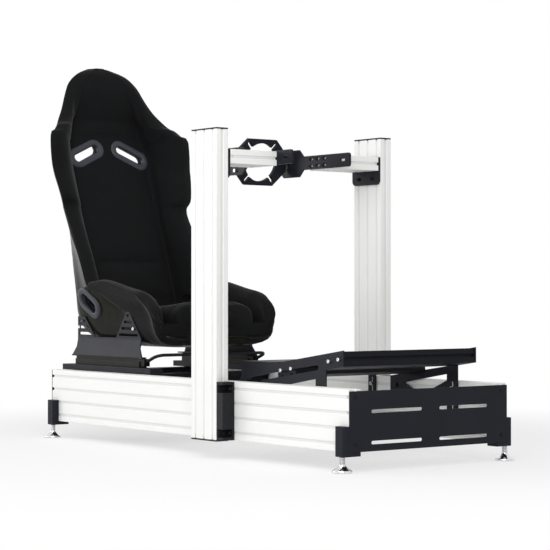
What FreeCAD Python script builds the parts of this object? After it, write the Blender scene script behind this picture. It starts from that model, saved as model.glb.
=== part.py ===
"""Sim racing cockpit: aluminium profile frame, bucket seat on sliders, wheel plate and pedal tray.

Millimetres. +X points forward to the pedals, +Y to the driver's left, +Z up. The origin lies on the
floor under the middle of the overall box. Pieces come in right (-Y) and left (+Y) pairs.
"""
import FreeCAD
import Part

import math
import os

V = FreeCAD.Vector

# Base rails
RAIL_REAR_X = -636.0
RAIL_LENGTH = 1460.0
RAIL_GAP = 472.0
RAIL_HEIGHT = 160.0
PROFILE_T = 40.0
GRID = 40.0
GROOVE_W = 8.0
GROOVE_D = 6.0
STRIP_T = 4.0
STRIP_END_GAP = 10.0
CAP_T = 4.0
CAP_ROUND = 2.4
SLOT_END_SIDES = 3
BELT_END_SIDES = 6
SAME_WAY = 0.9

# Feet
FLOOR_TO_RAIL = 52.0
FOOT_BRACKET_L = 40.0
FOOT_BRACKET_T = 20.0
FOOT_BRACKET_H = 77.0
FOOT_LIP_T = 11.0
FOOT_LIP_REACH = 36.0
FOOT_BRACKET_ROUND = 8.0
FOOT_DISC_D = 53.0
FOOT_DISC_T = 7.0
FOOT_NECK_D = 18.0
FOOT_CONE_H = 10.0

# Front plate
PLATE_T = 5.0
PLATE_HEIGHT = 155.0
PLATE_SLOT_L = 176.0
PLATE_SLOT_W = 9.0
PLATE_SLOT_MID_Y = 117.0
PLATE_SLOT_LOW = 22.0
PLATE_SLOT_HIGH = 102.0

# Uprights and their corner brackets
UPRIGHT_REAR_X = 185.0
UPRIGHT_WIDTH = 120.0
UPRIGHT_HEIGHT = 854.0
CORNER_L = 30.0
CORNER_WALL = 6.0
CORNER_POCKET_H = 22.0
CORNER_POCKET_SET = 8.0

# Wheel mount: two short beams, two side plates and the tilting wheel plate
BEAM_TOP_DROP = 54.0
BEAM_PLATE_T = 8.0
BEAM_PLATE_H = 80.0
BEAM_PLATE_ROUND = 14.0
SIDE_PLATE_T = 6.0
SIDE_PLATE_OUTER_Y = 107.0
SIDE_PLATE_ARM_H = 40.0
SIDE_PLATE_RISE = 3.0
SIDE_PLATE_FRONT = 69.0
SIDE_PLATE_ROUND = 8.0
SIDE_SLOT_COLUMNS = 3
SIDE_SLOT_L = 22.0
SIDE_SLOT_W = 7.0
SIDE_SLOT_PITCH = 30.0
SIDE_SLOT_ROW = 20.0
SIDE_SLOT_SET = 32.0
PADDLE_REAR = 139.0
PADDLE_LENGTH = 94.0
PADDLE_HEIGHT = 80.0
WHEEL_AXIS_BACK = 102.0
WHEEL_AXIS_RISE = 3.0
WHEEL_PLATE_W = 190.0
WHEEL_PLATE_H = 136.0
WHEEL_PLATE_T = 10.0
WHEEL_PLATE_CHAMFER = 44.0
WHEEL_PLATE_TILT = 10.0
WHEEL_HOLE_D = 112.0
WHEEL_SLOT_OUT = 78.0
WHEEL_SLOT_W = 9.0
WHEEL_SLOT_ANGLE = 48.0
PIVOT_D = 8.0
PIVOT_HEAD_D = 14.0
PIVOT_HEAD_T = 5.0
PIVOT_CLEARANCE = 0.3
PIVOT_SINK = 18.0
HEX_SIDES = 6
WASHER_SIDES = 12

# Pedal tray
TRAY_PLATE_T = 4.0
TRAY_RAIL_GAP = 1.0
TRAY_PIVOT_X = 424.0
TRAY_HEEL_BACK = 112.0
TRAY_LEVEL_FRONT = 53.0
TRAY_FRONT = 328.0
TRAY_LEVEL_RISE = 76.0
TRAY_RISE = 8.2
TRAY_REAR_DEPTH = 50.0
TRAY_ARM_DEPTH = 61.0
TRAY_NOSE_DEPTH = 42.0
TRAY_LUG_W = 48.0
TRAY_LEG_W = 32.0
TRAY_FRONT_LEG = 214.0
TRAY_FRONT_LEG_W = 43.0
TRAY_LEG_DROP = 64.0
TRAY_BAND_DROP = 40.0
TRAY_WINDOW_LOW = 8.0
TRAY_GUSSET_L = 66.0
TRAY_GUSSET_DROP = 17.0
TRAY_CHAMFER = 10.0
TRAY_SLOT_W = 9.0
TRAY_LONG_SLOT_W = 14.0
TRAY_LONG_SLOT_REAR = 73.0
TRAY_LONG_SLOT_FRONT = 227.0
TRAY_LONG_SLOT_DEPTH = 32.0
TRAY_BEAM_W = 80.0
TRAY_FRONT_BEAM = 286.0
TRAY_MID_BEAM = 85.0
TRAY_BEAM_DEPTH = 22.0
HEEL_T = 4.0
HEEL_L = 118.0

# Seat carriage
CROSSBAR_REAR_X = -579.0
CROSSBAR_FRONT_X = -219.0
BASE_BAR_REAR_X = -644.0
BASE_BAR_LENGTH = 500.0
BASE_BAR_T = 18.0
BASE_BAR_W = 45.0
BASE_BAR_Y = 211.5
SLIDER_Y = 203.0
SLIDER_REAR_X = -594.0
SLIDER_LENGTH = 365.0
SLIDER_W = 28.0
SLIDER_H = 18.0
SLIDER_WALL = 3.0
SLIDER_GAP = 0.6
RUNNER_TOP = 26.0
LEVER_TUBE_D = 10.0
LEVER_EYE_D = 14.0
LEVER_PIVOT_X = -215.0
LEVER_BAR_X = -153.0
LEVER_BAR_RISE = 24.0
LEVER_BEND = 24.0
LEVER_EAR_GAP = 2.0
LEVER_SIDES = 10
LEVER_BEND_STEPS = 4

# Seat brackets
BRACKET_T = 4.0
BRACKET_REAR_X = -595.0
BRACKET_LENGTH = 360.0
BRACKET_BAND_H = 53.0
BRACKET_BAND_LEAN = 10.0
BRACKET_FLARE_START = 30.0
BRACKET_REAR_EAR_H = 71.0
BRACKET_REAR_EAR_TOP = 40.0
BRACKET_REAR_EAR_BASE = 102.0
BRACKET_FRONT_EAR_H = 90.0
BRACKET_FRONT_EAR_TOP = 14.0
BRACKET_FRONT_EAR_SET = 66.0
BRACKET_FRONT_EAR_BASE = 138.0
BRACKET_SILL_H = 8.0
BRACKET_FOOT_W = 30.0
BRACKET_FOOT_FLARE = 20.0
BRACKET_SLOT_W = 8.0
BRACKET_SLOT_PITCH = 19.5
BRACKET_SLOT_EDGE = 14.0
BRACKET_SLOT_MARGIN = 9.0

# Seat path: a rolled front edge, a cushion, a hip bend, a straight back and a steeper head
SEAT_FRONT_X = -141.0
SEAT_FRONT_Z = 368.0
FRONT_ROLL_L = 40.0
FRONT_ROLL_H = 46.0
CUSHION_LENGTH = 290.0
CUSHION_SLOPE = 5.5
HIP_RADIUS = 110.0
BACK_RECLINE = 20.0
BACK_LENGTH = 540.0
HEAD_RECLINE = 9.0
HEAD_LENGTH = 230.0

# Seat sections, one row per place: share of the stretch, then half width and height above the
# padded surface of the rim, the knee and the wall end, then the floor's half width and depth
MOUNT_HALF_W = 203.0
ROLL_SECTIONS = [(0.00, 226, -6, 222, -14, 214, -40, 190, 56),
                 (0.33, 234, -6, 226, -12, 220, -62, 188, 92),
                 (0.67, 238, -6, 222, -12, 214, -80, 182, 114)]
CUSHION_SECTIONS = [(0.00, 240, -2, 212, -8, 206, -86, 176, 124),
                    (0.11, 241, 18, 203, 0, 203, -88, 172, 122),
                    (0.34, 240, 54, 203, 5, 203, -84, 172, 116),
                    (0.76, 240, 90, 203, 5, 203, -72, 172, 104),
                    (1.00, 239, 94, 203, 5, 203, -66, 172, 96)]
HIP_SECTIONS = [(0.33, 238, 84, 203, 5, 203, -40, 170, 84),
                (0.67, 238, 70, 203, 5, 203, -26, 166, 78),
                (1.00, 238, 59, 203, 5, 203, -22, 164, 74)]
BACK_SECTIONS = [(0.20, 238, 54, 203, 5, 196, -22, 156, 70),
                 (0.475, 235, 40, 206, 5, 184, -22, 150, 62),
                 (0.555, 250, 58, 206, 8, 178, -20, 148, 54),
                 (0.75, 266, 67, 211, 8, 185, -18, 148, 44),
                 (0.92, 270, 87, 198, 10, 176, -14, 146, 38),
                 (1.00, 232, 76, 182, 12, 161, -14, 138, 38)]
HEAD_SECTIONS = [(0.16, 205, 54, 169, 8, 152, -13, 130, 38),
                 (0.35, 175, 32, 152, 4, 136, -14, 114, 38),
                 (0.55, 152, 20, 134, -2, 118, -15, 98, 38),
                 (0.75, 128, 12, 113, -6, 99, -17, 82, 38),
                 (0.90, 89, 7, 76, -8, 65, -17, 52, 35),
                 (1.00, 48, -6, 43, -10, 34, -16, 26, 31.6)]
SHELL_T = 7.0
PAD_GAP = 0.5
MOUNT_GAP = 0.3
PAD_HALF_W = 148.0
CROWN_INSET = 10.0
CROWN_RISE = 12.0
SLOPE_SHARE = 0.62
SLOPE_HEIGHT = 0.55

# Belt slots and their bezels
BELT_SLOT_Y = 83.0
BELT_SLOT_L = 104.0
BELT_SLOT_W = 26.0
BELT_SLOT_TILT = 26.0
BELT_SLOT_DOWN = 62.0
BELT_WAY_EXTRA = 6.0
BEZEL_BORDER = 23.0
BEZEL_T = 6.0
BEZEL_POCKET_H = 45.0
LAP_SLOT_X = -510.0
LAP_SLOT_Z = 421.0
LAP_SLOT_L = 78.0
LAP_SLOT_W = 34.0
LAP_SLOT_TILT = -35.0
LAP_BEZEL_BORDER = 15.0
LAP_BEZEL_T = 4.0
LAP_CUT_INNER_Y = 100.0
LAP_CUT_OUTER_Y = 300.0

# Levels that follow from the sizes above
RAIL_BOTTOM = FLOOR_TO_RAIL
RAIL_TOP = RAIL_BOTTOM + RAIL_HEIGHT
RAIL_INNER = RAIL_GAP / 2
RAIL_OUTER = RAIL_INNER + PROFILE_T
RAIL_FRONT_X = RAIL_REAR_X + RAIL_LENGTH
UPRIGHT_FRONT_X = UPRIGHT_REAR_X + UPRIGHT_WIDTH
BEAM_TOP_Z = RAIL_BOTTOM + UPRIGHT_HEIGHT - BEAM_TOP_DROP
BEAM_BOTTOM_Z = BEAM_TOP_Z - PROFILE_T
SIDE_PLATE_Z = BEAM_TOP_Z - PROFILE_T / 2 + SIDE_PLATE_RISE
WHEEL_AXIS_X = UPRIGHT_REAR_X - WHEEL_AXIS_BACK
WHEEL_AXIS_Z = SIDE_PLATE_Z + WHEEL_AXIS_RISE
BASE_TOP = RAIL_TOP + BASE_BAR_T
RUNNER_TOP_Z = BASE_TOP + RUNNER_TOP
TRAY_PIVOT_Z = RAIL_TOP - GRID / 2
TRAY_OUTER = RAIL_INNER - TRAY_RAIL_GAP
TRAY_INNER = TRAY_OUTER - TRAY_PLATE_T
TRAY_LEVEL_Z = TRAY_PIVOT_Z + TRAY_LEVEL_RISE
BACK_WAY = V(-math.sin(math.radians(BACK_RECLINE)), 0, math.cos(math.radians(BACK_RECLINE)))
BACK_OUT = V(math.cos(math.radians(BACK_RECLINE)), 0, math.sin(math.radians(BACK_RECLINE)))

NODES = {}


def box(x0, x1, y0, y1, z0, z1):
    return Part.makeBox(x1 - x0, y1 - y0, z1 - z0, V(x0, y0, z0))


def mirrored(shape):
    """The same shape on the other side of the driver."""
    return shape.mirror(V(0, 0, 0), V(0, 1, 0))


def prism(points, along):
    """A straight prism on a closed outline of 3-D points."""
    wire = Part.makePolygon(points + points[:1])
    return Part.Face(wire).extrude(along)


def side_prism(points, y0, y1):
    """A prism across the car on an outline of (x, z) points."""
    return prism([V(x, y0, z) for x, z in points], V(0, y1 - y0, 0))


def cross_prism(points, x0, x1):
    """A prism along the car on an outline of (y, z) points."""
    return prism([V(x0, y, z) for y, z in points], V(x1 - x0, 0, 0))


def slot_prism(length, width, depth, sides):
    """A bar along X on the XY plane, each rounded end made of this many flat sides."""
    radius = width / 2
    middle = length / 2 - radius
    right = []
    for i in range(sides + 1):
        turn = math.pi * (i / sides - 0.5)
        right.append((middle + radius * math.cos(turn), radius * math.sin(turn)))
    outline = right + [(-x, -y) for x, y in right]
    return prism([V(x, y, 0) for x, y in outline], V(0, 0, depth))


def bolt_slot(length, width, depth):
    return slot_prism(length, width, depth, SLOT_END_SIDES)


def side_slot(slot, x, z, y1, tilt=0.0):
    """A slot cutter that ends at y1 on its inner side, its length turned up by tilt from +X."""
    cutter = slot.copy()
    cutter.rotate(V(0, 0, 0), V(1, 0, 0), 90)
    cutter.rotate(V(0, 0, 0), V(0, 1, 0), -tilt)
    cutter.translate(V(x, y1, z))
    return cutter


def pin(x, z, diameter, y0, y1):
    """A round bar across the car."""
    return Part.makeCylinder(diameter / 2, y1 - y0, V(x, y0, z), V(0, 1, 0))


def flat_sided_bar(x, z, diameter, y0, y1, sides):
    """A regular bar across the car, such as a bolt head or a washer."""
    points = []
    for i in range(sides):
        turn = 2 * math.pi * i / sides
        points.append((x + diameter / 2 * math.cos(turn), z + diameter / 2 * math.sin(turn)))
    return side_prism(points, y0, y1)


def flat_face(points):
    return Part.Face(Part.makePolygon(points + points[:1]))


def skin(rings):
    """A solid with flat triangles between rings of as many points, and a flat cap at each end."""
    faces = [flat_face(rings[0]), flat_face(rings[-1])]
    for low, high in zip(rings, rings[1:]):
        for i in range(len(low)):
            a, b = low[i - 1], low[i]
            c, d = high[i], high[i - 1]
            if (round(abs(a.y), 6), a.z) > (round(abs(b.y), 6), b.z):
                faces += [flat_face([a, b, c]), flat_face([a, c, d])]
            else:
                faces += [flat_face([a, b, d]), flat_face([b, c, d])]
    shell = Part.makeShell(faces)
    shell.sewShape()
    solid = Part.makeSolid(shell)
    if solid.Volume < 0:
        solid.reverse()
    return solid


def round_edges(shape, radius, keep):
    """Round the straight edges that keep(edge middle, edge direction) picks."""
    picked = []
    for edge in shape.Edges:
        ends = [vertex.Point for vertex in edge.Vertexes]
        if len(ends) == 2 and keep((ends[0] + ends[1]) / 2, (ends[1] - ends[0]).normalize()):
            picked.append(edge)
    return shape.makeFillet(radius, picked)


def groove_places(width):
    """Groove positions across a profile face of this width."""
    count = int(round(width / GRID))
    return [width * (i + 0.5) / count for i in range(count)]


def profile(width, length):
    """Grooved profile along X: width up Z, PROFILE_T across Y, one corner at the origin."""
    bar = box(0, length, 0, PROFILE_T, 0, width)
    half = GROOVE_W / 2
    cuts = []
    for z in groove_places(width):
        cuts.append(box(0, length, 0, GROOVE_D, z - half, z + half))
        cuts.append(box(0, length, PROFILE_T - GROOVE_D, PROFILE_T, z - half, z + half))
    middle = PROFILE_T / 2
    for z0 in (0, width - GROOVE_D):
        cuts.append(box(0, length, middle - half, middle + half, z0, z0 + GROOVE_D))
    return bar.cut(Part.makeCompound(cuts))


def profile_strips(width, length):
    """Cover strips that lie in the grooves of one profile, short of its ends."""
    half = GROOVE_W / 2
    x0 = STRIP_END_GAP
    x1 = length - STRIP_END_GAP
    low = GROOVE_D - STRIP_T
    strips = []
    for z in groove_places(width):
        strips.append(box(x0, x1, low, GROOVE_D, z - half, z + half))
        strips.append(box(x0, x1, PROFILE_T - GROOVE_D, PROFILE_T - low, z - half, z + half))
    middle = PROFILE_T / 2
    strips.append(box(x0, x1, middle - half, middle + half, low, GROOVE_D))
    strips.append(box(x0, x1, middle - half, middle + half, width - GROOVE_D, width - low))
    return strips


def stand_upright(shape):
    """Turn a profile from lying along X to standing along Z, its wide face still facing Y."""
    turned = shape.copy()
    turned.rotate(V(0, 0, 0), V(0, 1, 0), -90)
    return turned


def turn_across(shape, width):
    """Turn a profile from lying along X to lying along Y with its wide face up."""
    turned = shape.copy()
    turned.rotate(V(0, 0, 0), V(1, 0, 0), -90)
    turned.rotate(V(0, 0, 0), V(0, 0, 1), 90)
    turned.translate(V(width, 0, PROFILE_T))
    return turned


def moved(shape, x, y, z):
    copy = shape.copy()
    copy.translate(V(x, y, z))
    return copy


def pair(name, right):
    """Store a right-hand piece and its mirror image."""
    NODES[name + "_right"] = right
    NODES[name + "_left"] = mirrored(right)


def both(shape):
    return [shape, mirrored(shape)]


def make_rails():
    place = (RAIL_REAR_X, -RAIL_OUTER, RAIL_BOTTOM)
    pair("rail", moved(profile(RAIL_HEIGHT, RAIL_LENGTH), *place))
    cap = box(RAIL_REAR_X - CAP_T, RAIL_REAR_X, -RAIL_OUTER, -RAIL_INNER, RAIL_BOTTOM, RAIL_TOP)
    cap = round_edges(cap, CAP_ROUND, lambda mid, way: mid.x < RAIL_REAR_X - CAP_ROUND)
    NODES["rail_end_caps"] = Part.makeCompound(both(cap))
    return [moved(strip, *place) for strip in profile_strips(RAIL_HEIGHT, RAIL_LENGTH)]


def make_uprights():
    place = (UPRIGHT_FRONT_X, -RAIL_OUTER - PROFILE_T, RAIL_BOTTOM)
    pair("upright", moved(stand_upright(profile(UPRIGHT_WIDTH, UPRIGHT_HEIGHT)), *place))
    caps = []
    for z in (RAIL_BOTTOM - CAP_T, RAIL_BOTTOM + UPRIGHT_HEIGHT):
        caps += both(box(UPRIGHT_REAR_X, UPRIGHT_FRONT_X, -RAIL_OUTER - PROFILE_T, -RAIL_OUTER,
                         z, z + CAP_T))
    NODES["upright_caps"] = Part.makeCompound(caps)
    strips = [stand_upright(strip) for strip in profile_strips(UPRIGHT_WIDTH, UPRIGHT_HEIGHT)]
    return [moved(strip, *place) for strip in strips]


def make_corner_brackets():
    """Corner block between each upright's front face and the rail, with two bolt pockets."""
    x0 = UPRIGHT_FRONT_X
    x1 = x0 + CORNER_L
    y0 = -RAIL_OUTER - PROFILE_T
    block = box(x0, x1, y0, -RAIL_OUTER, RAIL_BOTTOM, RAIL_TOP)
    pockets = []
    for z in (RAIL_BOTTOM + CORNER_POCKET_SET, RAIL_TOP - CORNER_POCKET_SET - CORNER_POCKET_H):
        pockets.append(box(x0 + CORNER_WALL, x1, y0, -RAIL_OUTER - CORNER_WALL, z, z + CORNER_POCKET_H))
    pair("upright_bracket", block.cut(Part.makeCompound(pockets)))


def make_front_plate():
    plate = box(RAIL_FRONT_X, RAIL_FRONT_X + PLATE_T, -RAIL_OUTER, RAIL_OUTER,
                RAIL_BOTTOM, RAIL_BOTTOM + PLATE_HEIGHT)
    cutter = bolt_slot(PLATE_SLOT_L, PLATE_SLOT_W, PLATE_T)
    cutter.rotate(V(0, 0, 0), V(0, 0, 1), 90)
    cutter.rotate(V(0, 0, 0), V(0, 1, 0), 90)
    cuts = []
    for y in (-PLATE_SLOT_MID_Y, PLATE_SLOT_MID_Y):
        for z in (PLATE_SLOT_LOW, PLATE_SLOT_HIGH):
            cuts.append(moved(cutter, RAIL_FRONT_X, y, RAIL_BOTTOM + z))
    NODES["front_plate"] = plate.cut(Part.makeCompound(cuts))


def make_feet():
    """Brackets on the rails' outer faces with a lip under the rail, and a levelling foot under each."""
    lip_z = RAIL_BOTTOM - FOOT_LIP_T
    outer_y = -RAIL_OUTER - FOOT_BRACKET_T
    foot_y = -RAIL_OUTER - FOOT_BRACKET_T / 2
    brackets = []
    feet = []
    for x0 in (RAIL_REAR_X, RAIL_FRONT_X + PLATE_T - FOOT_BRACKET_L):
        x1 = x0 + FOOT_BRACKET_L
        block = box(x0, x1, outer_y, -RAIL_OUTER, lip_z, lip_z + FOOT_BRACKET_H)
        lip = box(x0, x1, -RAIL_OUTER, -RAIL_OUTER + FOOT_LIP_REACH, lip_z, RAIL_BOTTOM)
        bracket = block.fuse(lip).removeSplitter()
        bracket = round_edges(bracket, FOOT_BRACKET_ROUND,
                              lambda mid, way: abs(way.z) > SAME_WAY and mid.y < foot_y)
        brackets += both(bracket)
        feet += both(levelling_foot(x0 + FOOT_BRACKET_L / 2, foot_y, lip_z))
    NODES["foot_brackets"] = Part.makeCompound(brackets)
    NODES["levelling_feet"] = Part.makeCompound(feet)


def levelling_foot(x, y, seat_z):
    """A turned foot: disc, cone and the neck of its stud, up to the bracket above it."""
    r_disc = FOOT_DISC_D / 2
    r_neck = FOOT_NECK_D / 2
    z_cone = FOOT_DISC_T + FOOT_CONE_H
    outline = [(0, 0), (r_disc, 0), (r_disc, FOOT_DISC_T), (r_neck, z_cone), (r_neck, seat_z), (0, seat_z)]
    wire = Part.makePolygon([V(r, 0, z) for r, z in outline + outline[:1]])
    foot = Part.Face(wire).revolve(V(0, 0, 0), V(0, 0, 1), 360)
    return moved(foot, x, y, 0)


def make_wheel_mount():
    """Short beams from the uprights inwards, their end plates, and the side plates they carry."""
    y_plate = -RAIL_OUTER + BEAM_PLATE_T
    beam_length = -SIDE_PLATE_OUTER_Y - y_plate
    beam = turn_across(profile(UPRIGHT_WIDTH, beam_length), UPRIGHT_WIDTH)
    pair("wheel_beam", moved(beam, UPRIGHT_REAR_X, y_plate, BEAM_BOTTOM_Z))
    strips = [turn_across(strip, UPRIGHT_WIDTH) for strip in profile_strips(UPRIGHT_WIDTH, beam_length)]
    plate = box(UPRIGHT_REAR_X, UPRIGHT_FRONT_X, -RAIL_OUTER, y_plate,
                BEAM_TOP_Z - BEAM_PLATE_H, BEAM_TOP_Z)
    plate = round_edges(plate, BEAM_PLATE_ROUND,
                        lambda mid, way: abs(way.y) > SAME_WAY and mid.z < BEAM_BOTTOM_Z)
    pair("beam_plate", plate)
    pair("wheel_side_plate", wheel_side_plate())
    return [moved(strip, UPRIGHT_REAR_X, y_plate, BEAM_BOTTOM_Z) for strip in strips]


def wheel_side_plate():
    """Paddle-shaped plate: a slotted arm across the beam's end and a taller head for the wheel plate."""
    y0 = -SIDE_PLATE_OUTER_Y
    y1 = y0 + SIDE_PLATE_T
    arm = SIDE_PLATE_ARM_H / 2
    head = PADDLE_HEIGHT / 2
    step = head - arm
    front = UPRIGHT_FRONT_X + SIDE_PLATE_FRONT
    rear = UPRIGHT_REAR_X - PADDLE_REAR
    upper = [(front, arm), (rear + PADDLE_LENGTH + step, arm), (rear + PADDLE_LENGTH, head),
             (rear + step, head), (rear, head - step)]
    outline = upper + [(x, -z) for x, z in reversed(upper)]
    plate = side_prism([(x, SIDE_PLATE_Z + z) for x, z in outline], y0, y1)
    plate = round_edges(plate, SIDE_PLATE_ROUND,
                        lambda mid, way: abs(way.y) > SAME_WAY and mid.x > UPRIGHT_FRONT_X)
    slot = bolt_slot(SIDE_SLOT_L, SIDE_SLOT_W, SIDE_PLATE_T)
    cuts = [pin(WHEEL_AXIS_X, WHEEL_AXIS_Z, PIVOT_D, y0, y1),
            side_slot(slot, front - SIDE_SLOT_SET, SIDE_PLATE_Z, y1)]
    for column in range(SIDE_SLOT_COLUMNS):
        for row in (-0.5, 0.5):
            x = UPRIGHT_REAR_X + SIDE_SLOT_L / 2 + column * SIDE_SLOT_PITCH
            cuts.append(side_slot(slot, x, SIDE_PLATE_Z + row * SIDE_SLOT_ROW, y1))
    return plate.cut(Part.makeCompound(cuts))


def make_wheel_plate():
    """Flat plate with the wheel base hole and four diagonal slots, leaning forward at its top."""
    half_w = WHEEL_PLATE_W / 2
    half_h = WHEEL_PLATE_H / 2
    cut = WHEEL_PLATE_CHAMFER
    quarter = [(half_w, half_h - cut), (half_w - cut, half_h)]
    outline = quarter + [(-y, z) for y, z in reversed(quarter)]
    outline += [(-y, -z) for y, z in quarter] + [(y, -z) for y, z in reversed(quarter)]
    half_t = WHEEL_PLATE_T / 2
    plate = cross_prism(outline, -half_t, half_t)
    cuts = [Part.makeCylinder(WHEEL_HOLE_D / 2, WHEEL_PLATE_T, V(-half_t, 0, 0), V(1, 0, 0))]
    for side in (WHEEL_SLOT_ANGLE, -WHEEL_SLOT_ANGLE, 180 - WHEEL_SLOT_ANGLE, 180 + WHEEL_SLOT_ANGLE):
        slot = bolt_slot(2 * WHEEL_SLOT_OUT, WHEEL_SLOT_W, WHEEL_PLATE_T)
        half = slot.common(box(0, WHEEL_PLATE_W, -WHEEL_SLOT_W, WHEEL_SLOT_W, 0, WHEEL_PLATE_T))
        half.rotate(V(0, 0, 0), V(0, 0, 1), 90)
        half.rotate(V(0, 0, 0), V(0, 1, 0), 90)
        half.rotate(V(0, 0, 0), V(1, 0, 0), side)
        cuts.append(moved(half, -half_t, 0, 0))
    bore = PIVOT_D + 2 * PIVOT_CLEARANCE
    for y0, y1 in ((-half_w, -half_w + PIVOT_SINK), (half_w - PIVOT_SINK, half_w)):
        cuts.append(pin(0, 0, bore, y0, y1))
    plate = plate.cut(Part.makeCompound(cuts))
    plate.rotate(V(0, 0, 0), V(0, 1, 0), WHEEL_PLATE_TILT)
    NODES["wheel_plate"] = moved(plate, WHEEL_AXIS_X, 0, WHEEL_AXIS_Z)


def make_pivot_bolts():
    """Bolts that carry the wheel plate and the pedal tray, with hexagon heads."""
    outer = -SIDE_PLATE_OUTER_Y
    end = -WHEEL_PLATE_W / 2 + PIVOT_SINK - PIVOT_CLEARANCE
    wheel = pin(WHEEL_AXIS_X, WHEEL_AXIS_Z, PIVOT_D, outer, end)
    wheel = wheel.fuse(flat_sided_bar(WHEEL_AXIS_X, WHEEL_AXIS_Z, PIVOT_HEAD_D,
                                      outer - PIVOT_HEAD_T, outer, HEX_SIDES))
    inner = -TRAY_INNER + PIVOT_CLEARANCE
    washer = flat_sided_bar(TRAY_PIVOT_X, TRAY_PIVOT_Z, PIVOT_HEAD_D, -RAIL_INNER,
                            -TRAY_OUTER - PIVOT_CLEARANCE, WASHER_SIDES)
    shank = pin(TRAY_PIVOT_X, TRAY_PIVOT_Z, PIVOT_D, -RAIL_INNER, inner)
    head = flat_sided_bar(TRAY_PIVOT_X, TRAY_PIVOT_Z, PIVOT_HEAD_D, inner, inner + PIVOT_HEAD_T, HEX_SIDES)
    tray = washer.fuse([shank, head]).removeSplitter()
    NODES["pivot_bolts"] = Part.makeCompound(both(wheel) + both(tray))


def tray_top_z(x):
    """Height of the tray's upper edge: level over the heels, then rising."""
    level_end = TRAY_PIVOT_X + TRAY_LEVEL_FRONT
    return TRAY_LEVEL_Z + max(0.0, x - level_end) * math.tan(math.radians(TRAY_RISE))


def tray_side():
    """Side plate: level heel end, rising slotted arm, two slotted legs, and a lug on the pivot."""
    y0 = -TRAY_OUTER
    y1 = -TRAY_INNER
    heel = TRAY_PIVOT_X - TRAY_HEEL_BACK
    front = TRAY_PIVOT_X + TRAY_FRONT
    level_end = TRAY_PIVOT_X + TRAY_LEVEL_FRONT
    leg0 = heel - TRAY_CHAMFER
    leg1 = leg0 + TRAY_LEG_W
    lug0 = TRAY_PIVOT_X - TRAY_LUG_W / 2
    lug1 = TRAY_PIVOT_X + TRAY_LUG_W / 2
    fore0 = TRAY_PIVOT_X + TRAY_FRONT_LEG
    fore1 = fore0 + TRAY_FRONT_LEG_W
    low = TRAY_LEVEL_Z - TRAY_REAR_DEPTH
    foot = TRAY_PIVOT_Z - TRAY_LEG_DROP
    band = TRAY_PIVOT_Z - TRAY_BAND_DROP
    outline = [(heel, TRAY_LEVEL_Z), (heel, low + TRAY_CHAMFER), (leg0, low), (leg0, foot), (leg1, foot),
               (leg1, low), (lug0, low), (lug0, band + TRAY_CHAMFER), (lug0 + TRAY_CHAMFER, band),
               (fore0, band), (fore0, foot), (fore1, foot), (fore1, tray_top_z(fore1) - TRAY_NOSE_DEPTH),
               (front, tray_top_z(front) - TRAY_NOSE_DEPTH), (front, tray_top_z(front)),
               (level_end, TRAY_LEVEL_Z)]
    plate = side_prism(outline, y0, y1)
    corner_z = tray_top_z(fore0) - TRAY_ARM_DEPTH
    sill = TRAY_PIVOT_Z - TRAY_WINDOW_LOW
    window = [(lug1 + TRAY_CHAMFER, TRAY_PIVOT_Z + TRAY_WINDOW_LOW), (fore0, corner_z),
              (fore0, corner_z - TRAY_GUSSET_DROP), (fore0 - TRAY_GUSSET_L, sill),
              (lug1 + TRAY_LUG_W, sill)]
    cuts = [side_prism(window, y0, y1),
            pin(TRAY_PIVOT_X, TRAY_PIVOT_Z, PIVOT_D + 2 * PIVOT_CLEARANCE, y0, y1)]
    leg_slot = bolt_slot(low - foot - TRAY_CHAMFER, TRAY_SLOT_W, TRAY_PLATE_T)
    for x in ((leg0 + leg1) / 2, (fore0 + fore1) / 2):
        cuts.append(side_slot(leg_slot, x, (low + foot) / 2, y1, 90))
    rear_x = TRAY_PIVOT_X - TRAY_LONG_SLOT_REAR
    span = TRAY_LONG_SLOT_REAR + TRAY_LONG_SLOT_FRONT
    long_slot = bolt_slot(span / math.cos(math.radians(TRAY_RISE)), TRAY_LONG_SLOT_W, TRAY_PLATE_T)
    end_x = rear_x + span
    slot_z = tray_top_z(end_x) - TRAY_LONG_SLOT_DEPTH - span / 2 * math.tan(math.radians(TRAY_RISE))
    cuts.append(side_slot(long_slot, rear_x + span / 2, slot_z, y1, TRAY_RISE))
    return plate.cut(Part.makeCompound(cuts))


def make_pedal_tray():
    pair("tray_side", tray_side())
    width = 2 * TRAY_INNER
    for name, ahead in (("front", TRAY_FRONT_BEAM), ("mid", TRAY_MID_BEAM)):
        x = TRAY_PIVOT_X + ahead
        beam = turn_across(profile(TRAY_BEAM_W, width), TRAY_BEAM_W)
        beam = moved(beam, -TRAY_BEAM_W / 2, -TRAY_INNER, -PROFILE_T / 2)
        beam.rotate(V(0, 0, 0), V(0, 1, 0), -TRAY_RISE)
        NODES["tray_beam_" + name] = moved(beam, x, 0, tray_top_z(x) - TRAY_BEAM_DEPTH)
    heel = TRAY_PIVOT_X - TRAY_HEEL_BACK
    NODES["heel_plate"] = box(heel, heel + HEEL_L, -TRAY_INNER, TRAY_INNER,
                              TRAY_LEVEL_Z - HEEL_T, TRAY_LEVEL_Z)


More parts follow.
